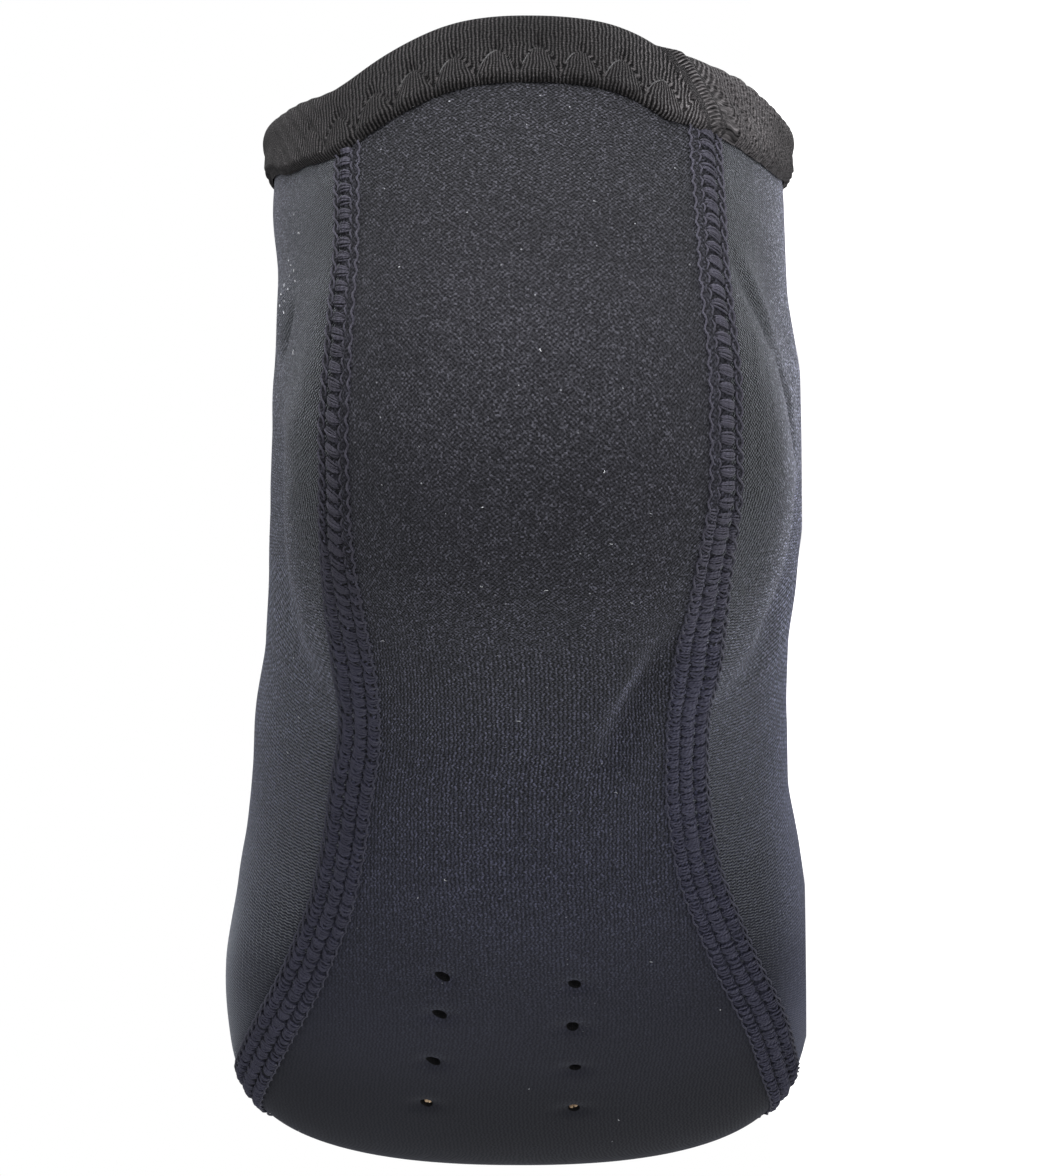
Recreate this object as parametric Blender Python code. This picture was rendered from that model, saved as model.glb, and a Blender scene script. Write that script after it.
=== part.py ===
"""Neoprene fin sock lying on its right side: sole panel, upper, flatlock seam and collar binding.

The sock is worked out on its last in the shoe's own frame, in millimetres: x runs from the heel's back to the
toe, y to the wearer's left and z up from the sole. It is then laid on its right side, collar towards +X and toe
towards +Y, and written in metres.
"""
import math
from typing import NamedTuple

import bmesh
import bpy
import numpy as np

MM = 0.001

# Driving sizes of the sock, in millimetres.
LENGTH = 225.0
BALL_WIDTH = 81.6
INSTEP_HEIGHT = 82.0
WALL = 2.5
JOINT_GAP = 0.3

# The collar's edge as a row of the section table: level round the ankle, with a tab at the back.
COLLAR = 15.0
COLLAR_ROW = 14.77
TAB_ROWS = 0.42
TAB_SPREAD_DEG = 30.0

# Folded tape round the collar.
BINDING_OUTSIDE = 13.0
BINDING_INSIDE = 11.0
BINDING_TAPE = 1.1
LAP_THICKNESS = 0.7
LAP_FROM_DEG = -46.0
LAP_TO_DEG = -20.0

# Flatlock seam, a flat band of thread over the joint of the two panels.
SEAM_HALF_WIDTH = 3.2
SEAM_RISE = 0.85
SEAM_STATIONS = 92
TOE_CLOSER = 1.6
TOE_SEAM_ROW = 0.8
TOE_TURN_ROW = 2.0
TOE_TURN_POWER = 0.55

# Drain holes through the sole's forefoot: row, then angle to the left and to the right of the centre line.
HOLE_DIAMETER = 2.3
HOLE_SIDES = 10

# How the sock lies: turned so that heel and ball share the floor, and pressed flat where it touches.
REST_TURN_DEG = 2.9
REST_LIFT = 31.0

# Mesh fineness.
PANEL_ROWS = 40
SOLE_COLUMNS = 16
UPPER_COLUMNS = 26
BINDING_COLUMNS = 60


class Section(NamedTuple):
    """One section of the last, from the sole or heel to the instep.

    sole_x and top_x are shares of LENGTH, sole_z and top_z shares of INSTEP_HEIGHT, width a share of BALL_WIDTH.
    widest is the share of the section's height where it is widest, sole_full and top_full are the fullness of
    its two halves, and seam_left and seam_right the angles from the sole's centre line to the two seams.
    """

    sole_x: float
    sole_z: float
    top_x: float
    top_z: float
    width: float
    widest: float
    sole_full: float
    top_full: float
    seam_left: float
    seam_right: float


class DrainHole(NamedTuple):
    """A pair of drain holes: the section row, and the angles of its left and right hole."""

    row: float
    left_deg: float
    right_deg: float


SECTIONS = (
    Section(1.000, 0.146, 1.000, 0.146, 0.000, 0.50, 2.2, 2.1, 180, 180),
    Section(0.993, 0.078, 0.995, 0.220, 0.270, 0.50, 2.2, 2.1, 146, 146),
    Section(0.971, 0.032, 0.976, 0.280, 0.404, 0.50, 2.3, 2.1, 96, 96),
    Section(0.924, 0.009, 0.938, 0.335, 0.474, 0.48, 2.4, 2.1, 78, 78),
    Section(0.844, 0.000, 0.871, 0.400, 0.500, 0.46, 2.5, 2.1, 63, 62),
    Section(0.724, 0.000, 0.778, 0.478, 0.493, 0.43, 2.5, 2.0, 50, 50),
    Section(0.587, 0.017, 0.676, 0.576, 0.463, 0.43, 2.3, 1.9, 42, 41),
    Section(0.453, 0.041, 0.596, 0.663, 0.433, 0.44, 2.2, 1.9, 38, 36),
    Section(0.329, 0.041, 0.533, 0.744, 0.421, 0.45, 2.2, 1.9, 37, 34),
    Section(0.216, 0.020, 0.489, 0.812, 0.419, 0.46, 2.3, 2.0, 38.5, 33),
    Section(0.116, 0.027, 0.460, 0.863, 0.421, 0.46, 2.4, 2.0, 41.5, 34.5),
    Section(0.044, 0.110, 0.442, 0.902, 0.419, 0.46, 2.4, 2.0, 44, 37),
    Section(0.006, 0.274, 0.431, 0.933, 0.411, 0.46, 2.4, 2.0, 44, 38),
    Section(0.004, 0.476, 0.423, 0.959, 0.401, 0.47, 2.4, 2.0, 43, 38),
    Section(0.021, 0.671, 0.417, 0.980, 0.394, 0.47, 2.4, 2.0, 42, 37.5),
    Section(0.047, 0.866, 0.411, 1.000, 0.393, 0.48, 2.4, 2.0, 41.5, 37),
    Section(0.076, 1.061, 0.405, 1.020, 0.393, 0.50, 2.4, 2.0, 41.5, 37),
)

DRAIN_HOLES = (
    DrainHole(5.48, 14.0, -6.6),
    DrainHole(5.09, 13.5, -5.9),
    DrainHole(4.55, 13.5, -6.4),
    DrainHole(3.94, 14.2, -7.3),
)


def section_table():
    """Return the section table in millimetres and radians, with a mirrored row before and a spare row after it."""
    table = np.array(SECTIONS, float)
    table[:, 0] *= LENGTH
    table[:, 2] *= LENGTH
    table[:, 1] *= INSTEP_HEIGHT
    table[:, 3] *= INSTEP_HEIGHT
    table[:, 4] *= BALL_WIDTH
    table[:, 8:] = np.radians(table[:, 8:])
    mirror = table[1].copy()
    mirror[4] = -table[1, 4]
    mirror[1] = table[1, 3]
    mirror[3] = table[1, 1]
    spare = 2.0 * table[-1] - table[-2]
    return np.vstack([mirror, table, spare])


TABLE = section_table()
ROW_COUNT = len(SECTIONS)


def section_at(row):
    """Return the section columns at any row, by a Catmull-Rom curve through the table."""
    row = np.asarray(row, float)
    low = np.clip(np.floor(row).astype(int), 0, ROW_COUNT - 2)
    part = (row - low)[..., None]
    before, start, end, after = (TABLE[low + step] for step in range(4))
    linear = (end - before) * part
    square = (2.0 * before - 5.0 * start + 4.0 * end - after) * part**2
    cube = (3.0 * start - before - 3.0 * end + after) * part**3
    return 0.5 * (2.0 * start + linear + square + cube)


def table_row(row, angle):
    """Return the table row of a sock row, where the sock's row COLLAR is the collar's edge at every angle."""
    turn = np.abs(np.arctan2(np.sin(angle), np.cos(angle)))
    tab = TAB_ROWS * np.exp(-((turn / math.radians(TAB_SPREAD_DEG)) ** 2))
    return row * (COLLAR_ROW + tab) / COLLAR


def last_point(row, angle):
    """Return points of the sock's outside on the last, at rows from the toe and angles from the sole's middle."""
    row, angle = np.broadcast_arrays(np.asarray(row, float), np.asarray(angle, float))
    cut = section_at(table_row(row, angle))
    lower = np.cos(angle) >= 0.0
    power = 2.0 / np.where(lower, cut[..., 6], cut[..., 7])
    across = np.sign(np.sin(angle)) * np.abs(np.sin(angle)) ** power * cut[..., 4]
    reach = np.abs(np.cos(angle)) ** power
    widest = cut[..., 5]
    rise = np.where(lower, widest * (1.0 - reach), widest + (1.0 - widest) * reach)
    x = cut[..., 0] + (cut[..., 2] - cut[..., 0]) * rise
    z = cut[..., 1] + (cut[..., 3] - cut[..., 1]) * rise
    return np.stack([x, across, z], axis=-1)


def slopes(row, angle):
    """Return the surface's two slopes, along the rows and along the angles."""
    step = 1e-4
    along = (last_point(row + step, angle) - last_point(row - step, angle)) / (2.0 * step)
    around = (last_point(row, angle + step) - last_point(row, angle - step)) / (2.0 * step)
    return along, around


def skin(row, angle, out):
    """Return points that stand out from the sock's outside by a distance, or inside it by a negative one."""
    row = np.asarray(row, float)
    safe_row = np.maximum(row, 0.02)
    along, around = slopes(safe_row, angle)
    normal = np.cross(along, around)
    normal /= np.linalg.norm(normal, axis=-1, keepdims=True)
    pole = np.broadcast_to((row < 0.01)[..., None], normal.shape)
    normal = np.where(pole, np.array([1.0, 0.0, 0.0]), normal)
    return last_point(row, angle) + np.asarray(out, float)[..., None] * normal


def lie_down(points, pressed):
    """Return points in the lying frame, with what is pressed kept on or above the floor."""
    turn = math.radians(REST_TURN_DEG)
    x, y, z = points[..., 0], points[..., 1], points[..., 2]
    forward = x * math.cos(turn) - y * math.sin(turn)
    height = y * math.cos(turn) + x * math.sin(turn) + REST_LIFT
    height = np.where(pressed, np.maximum(height, 0.0), height)
    return np.stack([z, forward, height], axis=-1)


def row_below_collar(angle, distance):
    """Return the sock row that lies a distance along the skin below the collar's edge."""
    angle = np.asarray(angle, float)
    rows = np.linspace(COLLAR, 5.0, 240)
    points = last_point(rows[:, None], angle.reshape(1, -1))
    lengths = np.linalg.norm(np.diff(points, axis=0), axis=-1).cumsum(axis=0)
    lengths = np.vstack([np.zeros((1, lengths.shape[1])), lengths])
    wanted = np.broadcast_to(np.asarray(distance, float), angle.shape).reshape(-1)
    found = [np.interp(wanted[k], lengths[:, k], rows) for k in range(lengths.shape[1])]
    return np.array(found).reshape(angle.shape)


def seam_angle(row, side):
    """Return the angle of the left (side 1) or right (side -1) seam, 180 degrees where it crosses the toe."""
    row = np.asarray(row, float)
    column = 8 if side > 0 else 9
    turn_angle = section_at(TOE_TURN_ROW)[column]
    share = np.clip((row - TOE_SEAM_ROW) / (TOE_TURN_ROW - TOE_SEAM_ROW), 0.0, 1.0)
    toe = math.pi - (math.pi - turn_angle) * share**TOE_TURN_POWER
    return np.where(row < TOE_TURN_ROW, toe, section_at(np.maximum(row, TOE_TURN_ROW))[..., column])


WALL_EDGE_DROP = BINDING_TAPE + JOINT_GAP


def wall_rows(base, angle):
    """Return sock rows for base rows of 0 to COLLAR, stretched to end at the wall's edge under the binding."""
    return base / COLLAR * row_below_collar(angle, WALL_EDGE_DROP)


def solid_from_faces(name, points, faces, material):
    """Build one closed object from points in millimetres and faces, with its normals facing out."""
    mesh = bpy.data.meshes.new(name)
    shape = bmesh.new()
    verts = [shape.verts.new(point) for point in np.asarray(points) * MM]
    for face in faces:
        shape.faces.new([verts[index] for index in face])
    bmesh.ops.remove_doubles(shape, verts=shape.verts, dist=1e-7)
    bmesh.ops.triangulate(shape, faces=shape.faces)
    bmesh.ops.recalc_face_normals(shape, faces=shape.faces)
    shape.to_mesh(mesh)
    shape.free()
    mesh.materials.append(material)
    part = bpy.data.objects.new(name, mesh)
    bpy.context.scene.collection.objects.link(part)
    return part


def make_material(name, colour, roughness):
    """Return a plain Principled material."""
    material = bpy.data.materials.new(name)
    material.use_nodes = True
    shader = material.node_tree.nodes["Principled BSDF"]
    shader.inputs["Base Color"].default_value = (*colour, 1.0)
    shader.inputs["Roughness"].default_value = roughness
    return material


def panel_faces(rows, columns, closed_rows):
    """Return the faces of a panel's outside, inside and edges; closed rows have no side edges."""
    count = rows * columns
    faces = []
    for i in range(rows - 1):
        for j in range(columns - 1):
            a = i * columns + j
            faces.append((a, a + 1, a + columns + 1, a + columns))
            faces.append((count + a, count + a + columns, count + a + columns + 1, count + a + 1))
        if i >= closed_rows:
            left = i * columns
            right = left + columns - 1
            faces.append((left, left + columns, count + left + columns, count + left))
            faces.append((right, count + right, count + right + columns, right + columns))
    last = (rows - 1) * columns
    for j in range(columns - 1):
        a = last + j
        faces.append((a, a + 1, count + a + 1, count + a))
    return faces


def panel_points(row, angle):
    """Return the points of a panel's outside and inside."""
    outside = lie_down(skin(row, angle, np.zeros(row.shape)), True)
    inside = lie_down(skin(row, angle, np.full(row.shape, -WALL)), False)
    return np.vstack([outside.reshape(-1, 3), inside.reshape(-1, 3)])


def build_sole(material):
    """Sole panel: round the toe's tip, under the foot and up the heel to the collar, with its drain holes."""
    toe_rows = np.linspace(0.0, TOE_SEAM_ROW, 4)
    body_rows = np.concatenate([TOE_SEAM_ROW + np.array([0.12, 0.35, 0.7]), np.linspace(2.0, COLLAR, PANEL_ROWS)])
    base = np.concatenate([toe_rows, body_rows])
    closed = len(toe_rows) - 1
    left = seam_angle(base + 0.02, 1) - 0.006 * (base > TOE_SEAM_ROW)
    right = seam_angle(base + 0.02, -1) - 0.006 * (base > TOE_SEAM_ROW)
    left[: closed + 1] = math.pi
    right[: closed + 1] = math.pi
    share = np.linspace(0.0, 1.0, SOLE_COLUMNS + 1)
    angle = -right[:, None] + (left + right)[:, None] * share[None, :]
    row = wall_rows(base[:, None] * np.ones_like(angle), angle)
    faces = panel_faces(len(base), SOLE_COLUMNS + 1, closed)
    sole = solid_from_faces("sole", panel_points(row, angle), faces, material)
    drill(sole)
    return sole


def build_upper(material):
    """Upper: over the toes and instep and round both sides of the heel to the collar."""
    start = TOE_SEAM_ROW + 0.06
    body_rows = np.concatenate([start + np.array([0.0, 0.12, 0.35, 0.7]), np.linspace(2.0, COLLAR, PANEL_ROWS)])
    left = seam_angle(body_rows - 0.04, 1) + 0.006
    right = seam_angle(body_rows - 0.04, -1) + 0.006
    left[0] = math.pi
    right[0] = math.pi
    share = np.linspace(0.0, 1.0, UPPER_COLUMNS + 1)
    angle = left[:, None] + (2.0 * math.pi - left - right)[:, None] * share[None, :]
    row = wall_rows(body_rows[:, None] * np.ones_like(angle), angle)
    faces = panel_faces(len(body_rows), UPPER_COLUMNS + 1, 0)
    return solid_from_faces("upper", panel_points(row, angle), faces, material)


def drill(sole):
    """Cut the drain holes through the sole panel."""
    cutters = bmesh.new()
    for hole in DRAIN_HOLES:
        for degrees in (hole.left_deg, hole.right_deg):
            angle = np.array(math.radians(degrees))
            ends = [lie_down(skin(np.array(hole.row), angle, np.array(out)), False) for out in (2.0, -WALL - 2.0)]
            axis = ends[0] - ends[1]
            axis /= np.linalg.norm(axis)
            side = np.cross(axis, np.array([0.0, 1.0, 0.0]))
            side /= np.linalg.norm(side)
            other = np.cross(axis, side)
            rings = []
            for end in ends:
                turns = [2.0 * math.pi * k / HOLE_SIDES for k in range(HOLE_SIDES)]
                ring = [end + HOLE_DIAMETER / 2.0 * (math.cos(t) * side + math.sin(t) * other) for t in turns]
                rings.append([cutters.verts.new(point * MM) for point in ring])
            for k in range(HOLE_SIDES):
                after = (k + 1) % HOLE_SIDES
                cutters.faces.new((rings[0][k], rings[0][after], rings[1][after], rings[1][k]))
            cutters.faces.new(rings[0][::-1])
            cutters.faces.new(rings[1])
    bmesh.ops.recalc_face_normals(cutters, faces=cutters.faces)
    mesh = bpy.data.meshes.new("drain_cutter")
    cutters.to_mesh(mesh)
    cutters.free()
    tool = bpy.data.objects.new("drain_cutter", mesh)
    bpy.context.scene.collection.objects.link(tool)
    cut = sole.modifiers.new("drain_holes", "BOOLEAN")
    cut.operation = "DIFFERENCE"
    cut.solver = "EXACT"
    cut.object = tool
    bpy.context.view_layer.objects.active = sole
    bpy.ops.object.modifier_apply(modifier=cut.name)
    bpy.data.objects.remove(tool, do_unlink=True)


def walk(row, angle, direction, distance):
    """Return the row and angle reached by walking a distance over the skin in a tangent direction."""
    goal = last_point(row, angle) + direction * distance
    new_row = np.array(row, float)
    new_angle = np.array(angle, float)
    for _ in range(4):
        along, around = slopes(new_row, new_angle)
        miss = goal - last_point(new_row, new_angle)
        aa = (along * along).sum(axis=-1)
        ab = (along * around).sum(axis=-1)
        bb = (around * around).sum(axis=-1)
        am = (along * miss).sum(axis=-1)
        bm = (around * miss).sum(axis=-1)
        size = aa * bb - ab * ab
        new_row = new_row + (am * bb - bm * ab) / size
        new_angle = new_angle + (bm * aa - am * ab) / size
    return new_row, new_angle


def seam_path():
    """Return rows and angles along the joint, from the collar on the left round the toe, closer there, to the right."""
    start_drop = BINDING_OUTSIDE + 2.0 * JOINT_GAP
    base = np.concatenate([np.linspace(COLLAR, 2.0, 400), 2.0 - 1.2 * np.linspace(0.0, 1.0, 120)[1:] ** 0.5])
    sides = []
    for side in (1, -1):
        angle = side * seam_angle(base, side)
        row = wall_rows(base, angle)
        keep = row <= row_below_collar(angle, start_drop)
        sides.append((row[keep], angle[keep]))
    row = np.concatenate([sides[0][0], sides[1][0][::-1][1:]])
    angle = np.concatenate([sides[0][1], (sides[1][1][::-1][1:]) + 2.0 * math.pi])
    points = last_point(row, angle)
    steps = np.linalg.norm(np.diff(points, axis=0), axis=-1) * (1.0 + TOE_CLOSER * np.exp(-((row[1:] / 3.0) ** 2)))
    length = np.concatenate([[0.0], steps.cumsum()])
    even = np.linspace(0.0, length[-1], SEAM_STATIONS)
    return np.interp(even, length, row), np.interp(even, length, angle)


def build_seam(material):
    """Flatlock seam: one flat band of thread that straddles the joint of sole and upper."""
    row, angle = seam_path()
    centre = last_point(row, angle)
    tangent = np.gradient(centre, axis=0)
    along, around = slopes(row, angle)
    normal = np.cross(along, around)
    side = np.cross(normal, tangent)
    side /= np.linalg.norm(side, axis=-1, keepdims=True)
    half = SEAM_HALF_WIDTH
    low = JOINT_GAP + 0.05
    profile = (
        (-half, low),
        (-half, 0.6 * SEAM_RISE),
        (-0.75 * half, SEAM_RISE),
        (0.0, SEAM_RISE),
        (0.75 * half, SEAM_RISE),
        (half, 0.6 * SEAM_RISE),
        (half, low),
        (0.5 * half, low),
        (0.0, low),
        (-0.5 * half, low),
    )
    rings = []
    for across, out in profile:
        at_row, at_angle = walk(row, angle, side, across)
        rings.append(lie_down(skin(at_row, at_angle, np.full(at_row.shape, out)), True))
    points = np.stack(rings, axis=1).reshape(-1, 3)
    return solid_from_faces("flatlock_seam", points, tube_faces(SEAM_STATIONS, len(profile), False), material)


def tube_faces(stations, sides, ring):
    """Return the faces of a profile swept along stations, joined in a ring or capped at both ends."""
    faces = []
    for i in range(stations if ring else stations - 1):
        here = i * sides
        there = ((i + 1) % stations) * sides
        for k in range(sides):
            after = (k + 1) % sides
            faces.append((here + k, here + after, there + after, there + k))
    if not ring:
        faces.append(tuple(range(sides)))
        faces.append(tuple((stations - 1) * sides + k for k in reversed(range(sides))))
    return faces


def build_binding(material):
    """Collar binding: a tape folded over the edge, its ends lapped beside the right seam."""
    angle = np.linspace(-math.pi, math.pi, BINDING_COLUMNS, endpoint=False)
    degrees = np.degrees(angle)
    rise = np.clip((degrees - LAP_FROM_DEG) / 4.0, 0.0, 1.0) * np.clip((LAP_TO_DEG - degrees) / 4.0, 0.0, 1.0)
    lap = LAP_THICKNESS * rise
    outer = JOINT_GAP + BINDING_TAPE
    inner = -WALL - 1.5 * JOINT_GAP
    profile = (
        (BINDING_OUTSIDE, JOINT_GAP, 0.0),
        (BINDING_OUTSIDE, 0.6 * outer, 0.5),
        (0.94 * BINDING_OUTSIDE, outer, 1.0),
        (0.5 * BINDING_OUTSIDE, outer, 1.0),
        (0.8 * BINDING_TAPE, outer, 1.0),
        (0.2 * BINDING_TAPE, 0.5 * outer, 1.0),
        (0.0, -0.4 * WALL, 0.0),
        (0.2 * BINDING_TAPE, inner - 0.4 * BINDING_TAPE, 0.0),
        (0.9 * BINDING_TAPE, inner - BINDING_TAPE, 0.0),
        (BINDING_INSIDE, inner - BINDING_TAPE, 0.0),
        (BINDING_INSIDE, inner, 0.0),
        (0.5 * BINDING_INSIDE, inner, 0.0),
        (BINDING_TAPE, inner, 0.0),
        (BINDING_TAPE, JOINT_GAP, 0.0),
        (0.5 * BINDING_OUTSIDE, JOINT_GAP, 0.0),
    )
    rings = []
    for drop, out, lapped in profile:
        row = row_below_collar(angle, np.full(angle.shape, drop))
        rings.append(lie_down(skin(row, angle, out + lapped * lap), out > JOINT_GAP))
    points = np.stack(rings, axis=1).reshape(-1, 3)
    return solid_from_faces("collar_binding", points, tube_faces(BINDING_COLUMNS, len(profile), True), material)


def centre_on_origin(parts):
    """Move every part so that the sock's box stands centred on the origin."""
    corners = np.array([vert.co for part in parts for vert in part.data.vertices])
    middle = (corners.min(axis=0) + corners.max(axis=0)) / 2.0
    for part in parts:
        for vert in part.data.vertices:
            vert.co.x -= middle[0]
            vert.co.y -= middle[1]
        part.data.update()


def main():
    """Build the sock in an empty scene."""
    for old in list(bpy.data.objects):
        bpy.data.objects.remove(old, do_unlink=True)
    parts = [
        build_upper(make_material("upper_neoprene", (0.022, 0.022, 0.026), 0.85)),
        build_sole(make_material("sole_neoprene", (0.020, 0.020, 0.024), 0.85)),
        build_seam(make_material("seam_thread", (0.016, 0.016, 0.020), 0.70)),
        build_binding(make_material("binding_tape", (0.018, 0.018, 0.019), 0.80)),
    ]
    centre_on_origin(parts)


main()
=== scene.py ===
"""Neoprene fin sock on its right side: knit-faced panels, flatlock seam, ribbed collar tape and lint."""
import logging
import math
from dataclasses import dataclass, field
from enum import Enum

import bpy
import numpy as np
from mathutils import Matrix, Vector


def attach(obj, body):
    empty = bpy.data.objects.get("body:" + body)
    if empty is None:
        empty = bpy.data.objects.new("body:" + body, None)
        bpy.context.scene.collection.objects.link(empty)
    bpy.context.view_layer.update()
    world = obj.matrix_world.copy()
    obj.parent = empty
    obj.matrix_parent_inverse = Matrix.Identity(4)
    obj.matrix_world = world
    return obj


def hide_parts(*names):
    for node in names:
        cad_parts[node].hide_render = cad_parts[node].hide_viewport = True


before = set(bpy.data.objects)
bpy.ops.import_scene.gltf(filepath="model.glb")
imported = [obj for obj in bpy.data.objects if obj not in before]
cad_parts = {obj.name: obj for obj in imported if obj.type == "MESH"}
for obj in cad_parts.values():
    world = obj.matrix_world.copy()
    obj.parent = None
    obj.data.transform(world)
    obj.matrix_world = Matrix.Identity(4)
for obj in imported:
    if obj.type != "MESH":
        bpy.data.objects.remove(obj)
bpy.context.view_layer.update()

LOG = logging.getLogger("fin_sock")
Array = np.ndarray
Colour = tuple[float, float, float]
Pairs = tuple[tuple[float, float], ...]
Piece = bpy.types.Object
Material = bpy.types.Material
Node = bpy.types.Node
Socket = bpy.types.NodeSocket
Tree = bpy.types.NodeTree
MM = 0.001
FULL_TURN = 2.0 * math.pi
BODY = "root"
IMAGE_SIZE = (1044, 1176)


def limited(value: Array) -> Array:
    """Return a value kept between 0 and 1."""
    return np.clip(value, 0.0, 1.0)


def eased(share: Array) -> Array:
    """Return a share from 0 to 1 that starts and ends softly."""
    return share * share * (3.0 - 2.0 * share)


def hump(offset: Array, spread: float) -> Array:
    """Return 1 where there is no offset, falling softly away over a spread."""
    return np.exp(-((offset / spread) ** 2))


def wrapped(angle: Array) -> Array:
    """Return an angle brought to within half a turn either way."""
    return np.arctan2(np.sin(angle), np.cos(angle))


def run(points: Array, axis: int = 0) -> Array:
    """Return the length run along lines of points, from 0 at the first."""
    steps = np.linalg.norm(np.diff(points, axis=axis), axis=-1).cumsum(axis=axis)
    return np.concatenate([np.zeros_like(steps.take([0], axis=axis)), steps], axis=axis)


def tinted(colour: Colour, factor: float) -> Colour:
    """Return a colour made lighter or darker by a factor."""
    return tuple(factor * part for part in colour)


class Side(Enum):
    """The two sides of the foot, as the sign of the angle from the sole's middle."""

    LEFT = 1
    RIGHT = -1


class Relief(Enum):
    """Whether a crease sinks into the cloth or stands out of it."""

    TROUGH = -1.0
    RIDGE = 1.0


# The last and the skin on it, in the shoe's own millimetres: x to the toe, y to the wearer's left, z up.

# Sections of the last: sole x and z, top x and z, half width, widest share,
# fullness of sole and top, and both seam angles.
SECTIONS = (
    (1.000, 0.146, 1.000, 0.146, 0.000, 0.50, 2.2, 2.1, 180, 180),
    (0.993, 0.078, 0.995, 0.220, 0.270, 0.50, 2.2, 2.1, 146, 146),
    (0.971, 0.032, 0.976, 0.280, 0.404, 0.50, 2.3, 2.1, 96, 96),
    (0.924, 0.009, 0.938, 0.335, 0.474, 0.48, 2.4, 2.1, 78, 78),
    (0.844, 0.000, 0.871, 0.400, 0.500, 0.46, 2.5, 2.1, 63, 62),
    (0.724, 0.000, 0.778, 0.478, 0.493, 0.43, 2.5, 2.0, 50, 50),
    (0.587, 0.017, 0.676, 0.576, 0.463, 0.43, 2.3, 1.9, 42, 41),
    (0.453, 0.041, 0.596, 0.663, 0.433, 0.44, 2.2, 1.9, 38, 36),
    (0.329, 0.041, 0.533, 0.744, 0.421, 0.45, 2.2, 1.9, 37, 34),
    (0.216, 0.020, 0.489, 0.812, 0.419, 0.46, 2.3, 2.0, 38.5, 33),
    (0.116, 0.027, 0.460, 0.863, 0.421, 0.46, 2.4, 2.0, 41.8, 33.5),
    (0.044, 0.110, 0.442, 0.902, 0.419, 0.46, 2.4, 2.0, 44.8, 36.4),
    (0.006, 0.274, 0.431, 0.933, 0.411, 0.46, 2.4, 2.0, 45.0, 38),
    (0.004, 0.476, 0.423, 0.959, 0.401, 0.47, 2.4, 2.0, 43.2, 38),
    (0.021, 0.671, 0.417, 0.980, 0.394, 0.47, 2.4, 2.0, 41.2, 37.2),
    (0.047, 0.866, 0.411, 1.000, 0.393, 0.48, 2.4, 2.0, 40.0, 36.5),
    (0.076, 1.061, 0.405, 1.020, 0.393, 0.50, 2.4, 2.0, 39.6, 36.4),
)


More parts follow.
